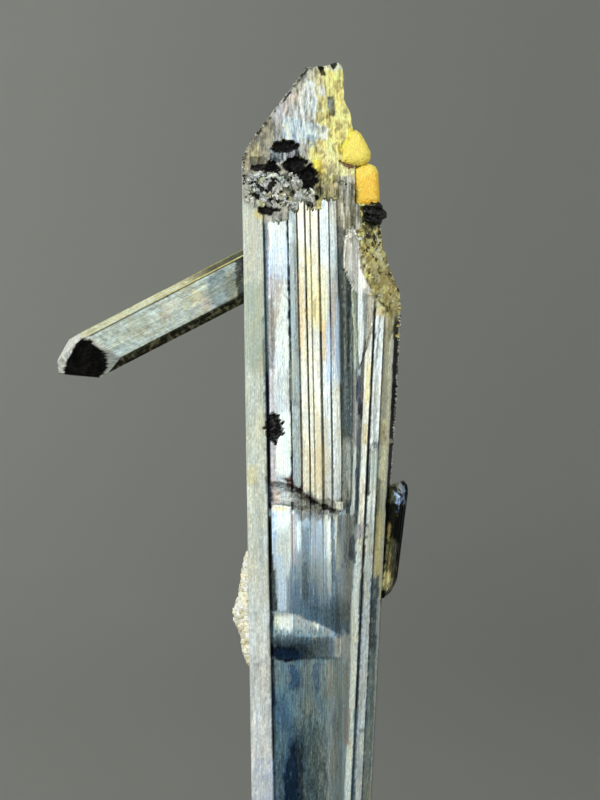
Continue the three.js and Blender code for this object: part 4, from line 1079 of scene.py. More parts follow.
@dataclass
class MainCrystal:
    """The long prism. Its rings follow the upright edges, and near the top they close in to form the tip.

    Attributes:
        rows: (from height, to height, spacing) of the rings.
        bend: (height, how far the whole section is bent to the back).
        groove_share: (height, share of its full depth that a groove has).
        bow, bow_top: how far the middle face bulges above the kink, and the height where that ends.
        kink: (x, height of the kink band's upper edge).
        kink_mid: the height of its crest.
        kink_sag: (x, height) of its lower edge.
        kink_height: how far its crest stands out.
        streak_depth: (height, how deep the fine streaks are), along the whole front.
        face_break: (x, upper height, lower height) of the break.
        break_depth: its depth as a share of its height.
        painted_sheen: (height, how bright the stripes of the middle face are), a painted reflection.
        strip_width: (height, how far the thin dark edge on the right stands out).
        bevel_edge: (height, x) of the right edge of the frosted bevel on the left.
        slope_edge: (height, x) of the left edge of the eaten right shoulder.
        lens_left, lens_right: (height, x) of the sides of the smooth facet below it.
        right_skyline, left_skyline: (height, x) of the outline seen from the front.
        top_skyline: (x, height) of the top's outline.
        tip_steps: (left x, height of the foot, setback) of each step at the foot of the tip's front face.
        tip_front, tip_front_lean: the front face's depth at tip_foot, and how much it leans back.
        tip_back, tip_back_lean: the back face's depth at full_height, and how much it leans forward.
        cavities: (x, height, half width, half height, depth).
    """

    rows: tuple = (
        (0, 21.2, 0.33), (21.2, 27.2, 0.12), (27.2, 36, 0.3), (36, 40.4, 0.1), (40.4, 43, 0.3),
        (43, 47.2, 0.12), (47.2, 56.4, 0.28), (56.4, 65, 0.15), (65, 74.5, 0.095), (74.5, 82, 0.125),
    )
    bend: tuple = ((0, 0), (22.2, -0.55), (26.8, -0.5), (37, -0.35), (39.4, -0.25), (67, 1.15), (84, 2))
    groove_share: tuple = ((0, 0), (26, 0), (28, 0.12), (36.5, 0.2), (37, 0.4), (84, 0.4))
    streak_depth: tuple = ((0, 0.5), (26, 0.6), (39, 1), (82, 1))
    bow: float = 0.2
    bow_top: float = 37
    kink: tuple = ((-3.3, 26.65), (-1.1, 26.6), (-0.4, 26.1), (1.1, 25.6), (2.2, 24.9), (2.7, 24.6))
    kink_mid: float = 24.3
    kink_sag: tuple = ((-4, 22.55), (-3.3, 22.2), (-2.4, 21.95), (-1.2, 22.15), (0.2, 22.3), (2.6, 22.3))
    kink_height: float = 0.4
    face_break: tuple = (
        (-4.1, 39.8, 37.5), (-1.95, 39.6, 37.4), (-0.9, 38.9, 37), (0.3, 38, 36.7), (1.3, 37.3, 36.5),
        (3, 36.9, 36.5),
    )
    break_depth: float = 0.14
    # Painted reflection: how bright the middle face's stripes are at each height.
    painted_sheen: tuple = (
        (0, 1), (36.8, 1), (37.6, 0.8), (41, 0.86), (43.5, 0.9), (46.5, 0.98), (50, 1.05), (53, 0.9),
        (56, 0.76), (59, 0.8), (62, 0.92), (65, 1),
    )
    strip_width: tuple = ((0, 0.05), (33, 0.1), (39, 0.4), (47, 0.55), (53, 0.6), (67, 0.62))
    bevel_edge: tuple = ((0, -3.45), (42, -4.28), (65, -4.73))
    slope_edge: tuple = (
        (56.5, 6.9), (57.8, 6.5), (59, 6.15), (60, 5.6), (61, 5.2), (62, 5.05), (64, 4.9), (67, 4.5),
    )
    lens_left: tuple = (
        (51.3, 4.9), (58.5, 4.2), (59.1, 4.3), (59.7, 4.05), (60.3, 3.75), (61.1, 3.45), (64, 3.5),
        (65.3, 4.1),
    )
    lens_right: tuple = (
        (51.3, 5), (53.3, 5.64), (55.2, 6.2), (57.8, 6.47), (59.7, 5.8), (61.1, 5.1), (64, 4.9),
        (65.3, 4.3),
    )
    right_skyline: tuple = (
        (58.2, 9.2), (59, 8.95), (60, 8.44), (61, 8), (62, 7.68), (63, 7.36), (65, 7.05), (67.5, 6.95),
        (67.6, 4.5), (73.6, 4.5), (75.4, 4.25), (76.6, 4.05), (77.4, 3.7), (78, 3.4), (79.9, 3.35),
        (80.7, 3.4), (81.4, 3.2), (82, 2.9),
    )
    top_skyline: tuple = (
        (-0.9, 81), (-0.45, 81.35), (0.15, 81.3), (0.75, 81.5), (0.95, 81.2), (1.15, 81.05), (1.35, 81.3),
        (1.6, 81.6), (2.05, 81.65), (2.25, 81.4), (2.45, 81.45), (2.7, 81.95), (3.15, 81.7), (3.45, 80.7),
    )
    left_skyline: tuple = (
        (70.9, -7.2), (73, -6.45), (74.9, -5.2), (77, -3.68), (79, -2.1), (81.4, -0.4), (82, -0.2),
    )
    tip_steps: tuple = (
        (-9, 67.7, 0.35), (-4.6, 65.8, 0.15), (-2.2, 66.6, 0.3), (-1.1, 67.6, 0), (-0.3, 66.9, 0.2),
        (1.05, 67.9, 0), (2.9, 69.7, 0.25), (4.6, 69.7, 0.25),
    )
    tip_foot: float = 67
    tip_front: float = -3.1
    tip_front_lean: float = 0.23
    full_height: float = 82
    tip_back: float = 2.3
    tip_back_lean: float = 0.35
    cavities: tuple = (
        (-3.6, 45.2, 0.95, 1.5, 0.9), (-2.5, 73.4, 1.4, 0.7, 1.2), (-3.9, 70.7, 0.95, 1.1, 1.2),
        (-1.5, 71.4, 1.4, 0.95, 1.3), (-0.2, 70.1, 0.95, 1.45, 1.3), (0.4, 68.1, 0.5, 0.35, 0.7),
        (-4.3, 66.9, 1.1, 0.45, 0.8), (-5.2, 71.2, 0.6, 0.35, 0.5),
    )

    @staticmethod
    def strip_inner(z: Array) -> Array:
        """How far right the thin dark edge begins, at each height."""
        return 5.78 + 0.0475 * z

    @staticmethod
    def slant(y: Array, z: Array) -> Array:
        """How far right the eaten shoulder's plane lies, through (4.5, -3.3, 66.5)."""
        return 4.5 + (0.59 * (y + 3.3) - 0.184 * (z - 66.5)) / 0.787

    @classmethod
    def leaning_face(cls, z: Array) -> Array:
        """How far back the tip's front face lies at each height, before its steps."""
        return cls.tip_front + cls.tip_front_lean * (z - cls.tip_foot)

    def heights(self) -> Array:
        """Spaces the rings evenly within each stretch.

        Returns:
            Their heights.
        """
        parts = [np.linspace(a, b, max(2, round((b - a) / step)), endpoint=False) for a, b, step in self.rows]
        return np.concatenate(parts + [np.array([self.rows[-1][1]])])

    def section(self) -> dict[str, Array]:
        """Spreads the edge table over the grid columns, in straight lines along each facet.

        Returns:
            For each column: the edge's places, its colour and roughness, whether it is in front, how much it
            belongs to the thin edge on the right, and how far along the outline it is.
        """
        edges = FRONT_EDGES + BACK_EDGES
        following = edges[1:] + edges[:1]
        counts = np.array([edge.columns for edge in edges])
        owner, share = spread_out(counts)
        spread = {}
        for label in ("x_foot", "x_belly", "x_top", "y_foot", "y_top", "groove"):
            start = np.array([getattr(edge, label) for edge in edges])[owner]
            stop = np.array([getattr(edge, label) for edge in following])[owner]
            spread[label] = start + (stop - start) * share
        spread["tint"] = np.array([edge.tint.rgb for edge in edges])[owner]
        number = np.arange(len(owner))
        uneven = 1 + (owner >= len(FRONT_EDGES)) * (0.6 * hashed(number, 0 * number) - 0.35)
        spread["tint"] = spread["tint"] * uneven[:, None]
        spread["polish"] = np.array([edge.polish for edge in edges])[owner]
        spread["front"] = (owner < len(FRONT_EDGES)).astype(float)
        right = len(FRONT_EDGES)
        spread["strip"] = (owner == right - 1) * share + (owner == right) * (1 - share)
        steps = np.hypot(*(np.diff(spread[label], append=spread[label][:1]) for label in ("x_top", "y_top")))
        spread["arc"] = np.cumsum(steps) - steps
        return spread

    def tip_face(self, x: Array, z: Array) -> tuple[Array, Array]:
        """Works out the tip's stepped front face.

        Args:
            x, z: the places.

        Returns:
            How far back the face lies, and how far above the foot of its step each place is.
        """
        lefts = np.array([step[0] for step in self.tip_steps])
        step = np.clip(np.searchsorted(lefts, x, side="right") - 1, 0, len(lefts) - 1)
        feathered = 0.3 * noise(x / 0.3, 0 * z, 5, 2) + 0.3 * noise(x / 0.13, 0 * z, 11)
        foot = np.array([step[1] for step in self.tip_steps])[step] + feathered
        setback = np.array([step[2] for step in self.tip_steps])[step] * (1 - ramp(70.5, 74.5, z))
        return self.leaning_face(z) + setback, z - foot

    def surface(self) -> Surface:
        """Works out the whole closed surface.

        A ring at height z takes each edge in straight lines between its three places and adds the groove, the
        bend, the bow and the kink. Above the shoulder it is clamped between the skyline's left and right, and
        between the tip's front and back faces. Cavities and the break push the front in.

        Returns:
            The surface with its tint, polish, metallic share and grain.
        """
        col = self.section()
        z = self.heights()[:, None]
        low = col["x_foot"] + (col["x_belly"] - col["x_foot"]) * z / BELLY
        high = col["x_belly"] + (col["x_top"] - col["x_belly"]) * (z - BELLY) / (TOP - BELLY)
        x = np.where(z < BELLY, low, high)
        y = col["y_foot"] + (col["y_top"] - col["y_foot"]) * z / TOP
        z = np.broadcast_to(z, x.shape).copy()
        smooth = self.lens(x, z)
        y = y + col["groove"] * along(self.groove_share, z) * (1 - smooth) + along(self.bend, z)
        y = y - 0.12 * smooth
        strip_now = x[:, [int(np.argmax(col["strip"]))]]
        x = x + col["strip"] * (self.strip_inner(z) + along(self.strip_width, z) - strip_now)

        front = np.broadcast_to(col["front"], x.shape)
        face = front * ramp(-4.3, -3.8, x) * (1 - ramp(2.6, 3.2, x))
        start = along(self.kink, x)
        y = y - self.bow * face * np.sin(math.pi * np.clip((z - start) / (self.bow_top - start), 0, 1))
        kink_top = along(self.kink, x) + 0.22 * noise(x / 0.5, 0 * z, 6, 3)
        sag = along(self.kink_sag, x) + 0.06 * noise(x / 0.4, 0 * z, 7, 2)
        swell = ramp(kink_top, self.kink_mid, z) * ramp(sag - 0.15, sag + 0.05, z)
        swell = swell * (0.35 + 0.65 * ramp(sag, self.kink_mid - 0.2, z))
        y = y - self.kink_height * face * swell * (1 - 0.8 * ramp(0.2, 2.4, x))

        arc = np.broadcast_to(col["arc"], x.shape)
        streak = noise(arc / 0.34, z / 24.0, 3) + 0.6 * noise(arc / 0.17, z / 15.0, 4)
        streak = streak * (1 - 0.8 * smooth)
        y = y + 0.016 * streak * front * along(self.streak_depth, z)
        y = y - 0.02 * streak * (1 - front)

        x = self.between_skylines(x, y, z)
        tip, above = self.tip_face(x, z)
        grain = 0.09 * noise(x / 0.28, z / 1.6, 8, 2) + 0.05 * noise(x / 0.12, z / 0.7, 9)
        y = np.where((above > 0) & (front > 0), np.maximum(y, tip + grain), y)
        y = np.minimum(y, self.tip_back + self.tip_back_lean * (self.full_height - z) + 0.2 * grain)
        ceiling = along(self.top_skyline, x) + 0.1 * noise(x / 0.2, y / 0.3, 12)
        pit, y = self.hollow(x, y, z, front)
        z = np.minimum(z, ceiling)
        points = np.stack([x, y, z], axis=-1)
        cap = self.cap(points[-1])
        fields = self.dress(col, points, above, pit) + (np.stack([arc, 0 * arc, z], -1),)
        grow = [np.concatenate([grid, np.repeat(grid[-1:], len(cap), axis=0)]) for grid in fields]
        return closed_rings(np.concatenate([points, cap]), grow)

    def lens(self, x: Array, z: Array) -> Array:
        """How much each place belongs to the smooth lens-shaped facet at the top of the right blade."""
        inside = band(along(self.lens_left, z), along(self.lens_right, z), 0.1, x)
        return inside * band(51.3, 65.3, 0.2, z)

    def between_skylines(self, x: Array, y: Array, z: Array) -> Array:
        """Clamps the rings to the slanting right shoulder and to the skyline on both sides.

        Args:
            x, y, z: the rings' points.

        Returns:
            How far right each point now is.
        """
        rough = 0.16 * noise(y / 0.5, z / 0.9, 21, 3)
        on_slant = (z > 57) & (z < 67.3)
        x = np.where(on_slant, np.minimum(x, self.slant(y, z) + rough), x)
        right = along(self.right_skyline, z) + 0.08 * noise(y / 0.5, z / 0.35, 22, 2)
        right = np.where(z <= self.right_skyline[0][0], np.inf, right)
        left = along(self.left_skyline, z) + 0.05 * noise(y / 0.5, z / 0.3, 23, 2)
        left = np.where(z < self.left_skyline[0][0], -np.inf, left)
        return np.clip(x, left, right)

    def hollow(
        self, x: Array, y: Array, z: Array, front: Array
    ) -> tuple[Array, Array]:
        """Pushes the cavities, the break and the cracks into the front.

        A cavity's share is 1 inside an ellipse whose edge noise breaks up. The break is a wedge between its
        upper and lower lines, deepest two fifths of the way up.

        Args:
            x, y, z: the rings' points.
            front: 1 on the front and 0 on the back.

        Returns:
            How much each place belongs to a cavity, and the new depths.
        """
        pit = np.zeros(x.shape)
        for i, (cx, cz, half_width, half_height, depth) in enumerate(self.cavities):
            away = np.hypot((x - cx) / half_width, (z - cz) / half_height)
            away = away + 0.4 * noise(x / 0.4, z / 0.4, 30 + i, 2)
            inside = (1 - ramp(0.75, 1.0, away)) * front
            y = y + inside * depth * (0.75 + 0.35 * noise(x / 0.3, z / 0.3, 50 + i, 2))
            pit = np.maximum(pit, inside)
        places, uppers, lowers = zip(*self.face_break)
        high, low = np.interp(x, places, uppers), np.interp(x, places, lowers)
        edge = 0.12 * noise(x / 0.3, z * 0, 70, 2)
        t = (z - low - edge) / (high - low)
        wedge = ramp(0.0, 0.4, t) * (1 - ramp(0.75, 1.0, t)) * front
        wedge = wedge * ramp(-4.1, -3.9, x) * (1 - ramp(2.9, 3.3, x))
        rough = 0.85 + 0.3 * noise(x / 0.7, z / 0.5, 71)
        crack = self.cracks(x, z) * front
        pit = np.maximum(pit, 0.34 * crack)
        return pit, y + wedge * rough * self.break_depth * (high - low) + 0.05 * crack

    def cracks(self, x: Array, z: Array) -> Array:
        """Draws the cracks: lines that noise sways, swells into blots and thins out.

        Args:
            x, z: the places.

        Returns:
            How much each place belongs to a crack.
        """
        total = np.zeros(x.shape)
        for i, line in enumerate(CRACKS):
            places, heights = zip(*line)
            off = np.abs(z - np.interp(x, places, heights) - 0.14 * noise(x / 0.22, z * 0, 90 + i, 3))
            width = 0.1 + 0.14 * np.clip(noise(x / 0.55, z * 0 + i, 95 + i), -0.3, 1)
            drawn = (1 - ramp(0.3 * width, 1.5 * width, off)) * band(places[0], places[-1], 0.15, x)
            total = np.maximum(total, drawn)
        return total

    def cap(self, rim: Array) -> Array:
        """Shrinks the last ring to its middle in steps, level with the ragged top edge.

        Args:
            rim: the last ring.

        Returns:
            The smaller rings.
        """
        middle = rim.mean(axis=0)
        steps = np.linspace(0, 1, 6)[1:-1, None, None]
        return rim[None] + (middle - rim)[None] * steps

    def dress(
        self, col: dict[str, Array], points: Array, above: Array, pit: Array
    ) -> tuple[Array, Array, Array]:
        """Colours the surface, from the facets' own films to the black of the cavities and cracks; in the
        cavities it is painted shade.

        Args:
            col: the columns' fields.
            points: the surface's points.
            above: height above the foot of the tip's steps.
            pit: how much a place belongs to a cavity.

        Returns:
            Tint, roughness and metallic share at each point.
        """
        x, y, z = np.moveaxis(points, -1, 0)
        front = np.broadcast_to(col["front"], x.shape)
        tint = np.broadcast_to(col["tint"], points.shape)
        coat = Coat(x, y, z, front, tint, np.broadcast_to(col["polish"], x.shape))
        bevel = front * (x < along(self.bevel_edge, z))
        self.colour_facets(coat, bevel)
        self.colour_lower_face(coat)
        coat.lay(UPPER_FILMS + BLADE_FILMS + LOWER_FILMS + FOOT_FILMS + BOTTOM_FILMS)
        self.colour_kink(coat, bevel)
        self.colour_break(coat)
        self.colour_tip(coat, above)
        self.colour_slope(coat)
        polish = coat.polish + 0.32 * front * ramp(38, 26, z) * band(3.3, 5.95, 0.1, x)
        polish = polish + 0.24 * front * band(-3.5, -2.2, 0.2, x) * band(27, 34, 1.5, z)
        metal = sheen(coat.tint, polish)
        # Painted shade blackens the cavities; the cracks' dark is their own.
        dark = ramp(0.1, 0.5, pit)
        coat.stain(shaded(Tint.HOLLOW.rgb, -ramp(0.35, 0.5, pit)) + 0.002, dark)
        return coat.tint, polish + 0.3 * dark, metal * (1 - dark)

    def colour_facets(self, coat: Coat, bevel: Array) -> None:
        """Tarnishes the back, frosts the left bevel, varies how worn the front is, and paints its stripes
        brighter and darker by height as painted reflection.
        """
        x, z, front, back = coat.x, coat.z, coat.front, 1 - coat.front
        coat.stain(Tint.TARNISH_STRAW.rgb, 0.5 * back * ramp(0, 0.6, noise(x / 1.3, z / 7, 140, 3)))
        coat.stain(Tint.TARNISH_BLUE.rgb, 0.6 * back * ramp(0, 0.6, noise(x / 1.1, z / 9, 141, 3)))
        coat.stain(Tint.BEVEL.rgb, bevel * (1 - ramp(5, 48, z)))
        coat.shade(bevel * (0.34 * coat.fleck + 0.24 * noise(x / 0.3, z / 5, 80, 2)))
        worn = 0.3 * noise(x / 0.17, z / 2.4, 92, 3) + 0.3 * noise(x / 0.14, z / 0.4, 93, 2)
        coat.shade(worn * front * (1 - bevel))
        # Painted reflection: the middle face's stripes brighter and darker by height.
        coat.shade(front * band(-3.9, 3.1, 0.1, x) * (along(self.painted_sheen, z + 0.8 * coat.cloud) - 1))

    def colour_lower_face(self, coat: Coat) -> None:
        """Gives the face below the break its slate blue, and the part under the kink a greyer one."""
        x, z, cloud = coat.x, coat.z, coat.cloud
        below = coat.front * (x < 3.6) * (x > along(((0, -3.4), (42, -4.2)), z)) * (1 - ramp(36.6, 37.2, z))
        slate = ramp(-2.2, -1.0, x + 0.4 * cloud) * 0.5 + 0.5 * ramp(34.5, 27, z + 1.6 * cloud)
        slate = slate * (1 - 0.55 * ramp(-0.2, 1.2, x) * ramp(27, 30, z))
        lower = blend(Tint.LOWER_PALE.rgb, Tint.LOWER_SLATE.rgb, slate)
        coat.stain(shaded(lower, 0.45 * noise(x / 0.17, z / 6, 88, 3)), below)
        bottom = blend(Tint.BOTTOM_BLUE.rgb, Tint.BOTTOM_GREY.rgb, ramp(-0.6, 0.6, cloud + 0.4 * x))
        bottom = shaded(bottom, 0.25 * cloud + 0.6 * noise(x / 0.16, z / 0.9, 89, 3))
        coat.stain(bottom, below * ramp(22.3, 21.9, z + 0.2 * coat.fleck))

    def colour_kink(self, coat: Coat, bevel: Array) -> None:
        """Lays the kink's films, within its band or to the right of it: painted highlight on its pale step,
        painted shade on the blue-black below.
        """
        x, z, cloud = coat.x, coat.z, coat.cloud
        upper = along(self.kink, x) - 0.05
        kink = band(along(self.kink_sag, x), upper, 0.14, z + 0.2 * coat.fleck + 0.16 * cloud)
        kink = kink * (1 - ramp(1.6, 3.0, x + 0.3 * cloud)) * (1 - bevel)
        step = coat.over(coat.tint, KINK_FILMS)
        coat.stain(step, np.maximum(kink, ramp(2.4, 2.5, x)) * coat.front)

    def colour_break(self, coat: Coat) -> None:
        """Lays the break's films, and chips and dulls what lies inside it."""
        x, z = coat.x, coat.z
        coat.lay(BREAK_FILMS)
        places, uppers, lowers = zip(*self.face_break)
        broken = band(np.interp(x, places, lowers), np.interp(x, places, uppers) - 0.3, 0.15, z)
        broken = broken * coat.front * band(-4, 2.8, 0.15, x)
        chips = noise(x / 0.3, z / 0.2, 98, 3)
        coat.shade(0.7 * broken * chips)
        coat.polish = coat.polish + (0.2 + 0.1 * chips) * broken

    def colour_tip(self, coat: Coat, above: Array) -> None:
        """Gives the tip's front its woody face: grey at the left and straw at the right."""
        x, z, fleck = coat.x, coat.z, coat.fleck
        tip = coat.front * ramp(-0.1, 0.15, above + 0.12 * fleck)
        wood = blend(Tint.TIP_GREY.rgb, Tint.TIP_STRAW.rgb, ramp(-0.3, 1.8, x + 0.9 * coat.cloud))
        blotchy = ramp(0.3, 1.6, x) * ramp(79, 76, z)
        grain = noise(x / 0.17, z / 1.1, 83, 3) * (1 - blotchy) + noise(x / 0.3, z / 0.4, 99, 3) * blotchy
        wood = coat.over(wood, TIP_FILMS)
        wood = shaded(wood, 1.1 * ramp(-0.6, 0.5, grain + 0.45 * fleck) - 0.55)
        inwards = x - np.maximum(along(self.left_skyline, z), -6.9)
        rim = band(0.12, 0.34, 0.06, inwards) * ramp(-0.1, 0.3, noise(x / 0.3, z / 0.35, 84, 2))
        wood = blend(wood, Tint.TIP_RIM.rgb, rim * ramp(72, 73, z))
        coat.stain(wood, tip)
        coat.polish = coat.polish * (1 - tip) + tip * (0.42 + 0.1 * grain)

    def colour_slope(self, coat: Coat) -> None:
        """Speckles the eaten right shoulder, and lays pale and dark fibres at its upper left."""
        x, z, front = coat.x, coat.z, coat.front
        near = np.maximum(front, (coat.y < 2.4) * (z > 56.4) * (z < 67.6))
        olive = near * ramp(-0.12, 0.12, x + 0.15 * coat.fleck - along(self.slope_edge, z))
        olive = olive * ramp(56.2, 57.4, z + 0.9 * coat.cloud)
        slope = shaded(Tint.SLOPE_STRAW.rgb, 1.2 * noise(x / 0.2, z / 0.4, 85, 3))
        slope = blend(slope, Tint.SLOPE_OLIVE.rgb, ramp(0, 0.12, noise(x / 0.55, z / 0.7, 94, 3)))
        slope = blend(slope, Tint.SLOPE_DARK.rgb, ramp(0.2, 0.35, noise(x / 0.3, z / 0.5, 86, 3)))
        slope = blend(slope, Tint.SLOPE_PALE.rgb, ramp(0.2, 0.35, noise(x / 0.25, z / 0.6, 87, 3)))
        coat.stain(coat.over(slope, SHOULDER_FILMS), olive)
        coat.polish = coat.polish + 0.25 * olive
        fibre = noise(x / 0.12, z / 1.4, 91, 3)
        streaks = blend(Tint.FIBRE.rgb, Tint.FIBRE_PALE.rgb, ramp(0, 0.5, fibre))
        streaks = blend(streaks, Tint.FIBRE_DARK.rgb, ramp(-0.15, -0.5, fibre))
        fibrous = band(2.75, 4.9, 0.08, x) * band(65.2 + 0.3 * coat.cloud, 70.2, 0.3, z)
        coat.stain(streaks, 0.85 * front * fibrous)


# ---- Smaller crystals ----


@dataclass
class Prism:
    """A straight crystal: an outline drawn along an axis and cut by planes at its ends.

    Attributes:
        seat: a point on the axis, in millimetres.
        along, across, back: the axis, and the outline's two directions.
        start: where the rings start on the axis, unless a plane cuts them off.
        outline: (across, back) corners, anticlockwise seen from the far end of the axis.
        films: the colour and the roughness of the facet after each corner.
        planes: (point, outward normal, colour, roughness) of each face at the ends.
        spacing: the grid's spacing.
        ripple: how far the sides swell and shrink, as a share.
        seed: which set of ripples.
    """

    seat: Array
    along: Array
    across: Array
    back: Array
    start: float
    outline: tuple
    films: tuple
    planes: tuple
    spacing: float = 0.12
    ripple: float = 0.012
    seed: int = 100

    def limits(self, u: Array, v: Array) -> tuple[Array, Array, Array]:
        """Cuts lines along the axis by the end planes.

        A plane through p with normal n cuts the line at n.(p - seat - u across - v back) / n.along.

        Args:
            u, v: how far across and back each line is.

        Returns:
            Where each line enters and leaves, and the number of the plane it leaves by.
        """
        low, high, by = np.full(u.shape, self.start), np.full(u.shape, 1e9), np.zeros(u.shape, int)
        for i, (point, normal, _, _) in enumerate(self.planes):
            normal = np.asarray(normal)
            away = np.asarray(point) - self.seat
            slip = u * (normal @ self.across) + v * (normal @ self.back)
            s = (normal @ away - slip) / (normal @ self.along)
            if normal @ self.along > 0:
                by = np.where(s < high, i, by)
                high = np.minimum(high, s)
            else:
                low = np.maximum(low, s)
        return low, high, by

    def surface(self, films: Callable[..., Array]) -> Surface:
        """Works out the closed surface: seat + s along + u across + v back, for rings of (u, v).

        Args:
            films: a function that gives new colours for (tint, points, facet).

        Returns:
            The surface.
        """
        rim, owner, steps = sampled(np.array(self.outline), self.spacing, least=1)
        u, v = rim.T
        low, high, _ = self.limits(u, v)
        rows = max(2, int(round(float((high - low).max()) / (self.spacing * 1.6))))
        t = np.linspace(0, 1, rows)[:, None]
        shrink = np.linspace(1, 0, 16)[1:-1, None]
        scale = np.concatenate([shrink[::-1], np.ones((rows, 1)), shrink])
        uu, vv = scale * u, scale * v
        lows, highs, by = self.limits(uu, vv)
        part = np.concatenate([np.zeros_like(shrink), t, np.ones_like(shrink)])
        s = lows + (highs - lows) * part
        where = np.cumsum(steps)
        streak = noise(where / 0.22, s / 12, self.seed, 2)
        swell = 1 + self.ripple * streak
        points = self.seat + s[..., None] * self.along + (uu * swell)[..., None] * self.across
        points = points + (vv * swell)[..., None] * self.back
        wall = (part > 0) & (part < 1)
        tints = np.array([linear(film[0]) for film in self.films])[owner]
        ends = np.array([linear(plane[2]) for plane in self.planes])[by]
        tint = np.where(wall[..., None], shaded(tints[None], 0.35 * streak), ends)
        polish = np.where(wall, np.array([film[1] for film in self.films])[owner][None], 0.0)
        polish = polish + np.where(wall, 0.0, np.array([plane[3] for plane in self.planes])[by])
        tint = films(tint, points, np.where(wall, owner[None], -1 - by))
        grain = np.stack([where + 0 * s, 0 * s, s], -1)
        return closed_rings(points, (tint, polish, sheen(tint, polish), grain))


SLOPE = math.radians(27.3)  # how steeply the crossing crystal comes down to the left
WIDE_FACE = 8  # the numbers of its facets, from its outline
LOWER_LEDGE = 11
BRIGHT_LEDGES = (10, 12)
DUSTY_FACES = (4, 5, 6, 7)
BLUNT_FACE = -2  # the second of its end planes

# Films of the crossing crystal's wide face, by height and by how far right they are.
CROSSING_FILMS = (
    Film(Tint.STRAW, ((60, -8, -7.2), (57, -8.2, -7.4)), 0.6, 0.4, 0.8, 0.3),
    Film(Tint.UMBER, ((60.5, -8.3, -7.5), (58, -8.3, -7.5)), 0.5, 0.3, 0.8, 0.3),
    Film(Tint.TEAL, ((60.5, -9.8, -7.6), (57.5, -10.2, -7.8)), 0.55, 0.8, 0.8, 0.4),
    Film(Tint.STRAW, ((58.5, -12.2, -11), (57.5, -12.5, -11.2)), 0.65, 0.4, 0.4, 0.5, 1.4),
    Film(Tint.PINK, ((58, -11, -10.2), (57, -11, -10.2)), 0.5, 0.3, 0.4, 0.3, 1.2),
    Film(Tint.CREAM, ((57.8, -14.5, -13.2), (56.8, -14.7, -13.4)), 0.7, 0.3, 0.3, 0.4, 1.2),
    Film(Tint.SAND, ((56.5, -14.9, -14.3), (55.9, -14.9, -14.3)), 0.5, 0.3, 0.3, 0.3, 1.2),
    Film(Tint.OLIVE, ((56.5, -18, -16.5), (54.5, -18, -16.5)), 0.5, 0.6, 0.6, 0.4),
    # Painted shadow where the crossing crystal meets the main one.
    Film(Tint.INK, ((63, -7.5, -6.4), (56, -7.2, -6.4)), 0.95, 0.25, 0.5, 0.2),
)


# The black heart of its blunt end; the rim round it stays pale.
TIP_SHADOW = Film(
                 Tint.INK,
                 (
                     (54, -23, -22), (53.4, -23.55, -21.75), (52.6, -23.95, -20.6),
                     (51.8, -24.4, -20.4), (51.1, -24.75, -20.5), (50.1, -24.6, -21.3),
                 ),
                 0.97, 0.15, 0.12, 0.1, 0.4,
             )


def crossing_films(tint: Array, points: Array, facet: Array) -> Array:
    """Mottles the crossing crystal: stains on its wide face, dust on its lower edge, dark at its tip, and
    painted shadow at its foot, where it meets the main crystal.

    Args:
        tint: the colours so far.
        points: the surface's points.
        facet: the facet that each point is on.

    Returns:
        The new colours.
    """
    x, z = points[..., 0], points[..., 2]
    cells = noise(x / 0.55, z / 0.45, 120, 3)
    tint = shaded(tint, (facet >= 0) * (0.45 * cells + 0.4 * noise(x / 0.22, z / 0.16, 121, 2)))
    # Painted shadow on the ledge, near the main crystal.
    dark = (facet == LOWER_LEDGE) * ramp(-14, -9.5, x + 0.5 * cells)
    tint = blend(tint, Tint.LEDGE_DARK.rgb, 0.85 * dark)
    bright = np.isin(facet, BRIGHT_LEDGES) * ramp(-19, -11, x + 2 * cells)
    tint = blend(tint, Tint.LEDGE_YELLOW.rgb, 0.5 * bright)
    for film in CROSSING_FILMS:
        tint = film.lay(tint, x, z, (facet == WIDE_FACE).astype(float))
    blunt = (facet == BLUNT_FACE).astype(float)
    tint = blend(tint, Tint.GREY.rgb, 0.7 * blunt * ramp(-21.2, -20.4, x + 0.4 * cells))
    tint = TIP_SHADOW.lay(TIP_SHADOW.lay(tint, x, z, blunt), x, z, blunt)
    tint = shaded(tint, 0.6 * blunt * noise(x / 0.25, z / 0.2, 123, 3))
    heart = blunt * ramp(0.2, 0.6, noise(x / 0.4, z / 0.4, 124, 3)) * band(-23.8, -21, 0.2, x)
    tint = blend(tint, Tint.HEART.rgb, 0.8 * heart)
    dust = np.isin(facet, DUSTY_FACES) * ramp(0, 0.5, noise(x / 0.3, z / 0.3, 122, 2))
    return blend(tint, Tint.DUST.rgb, 0.6 * dust)


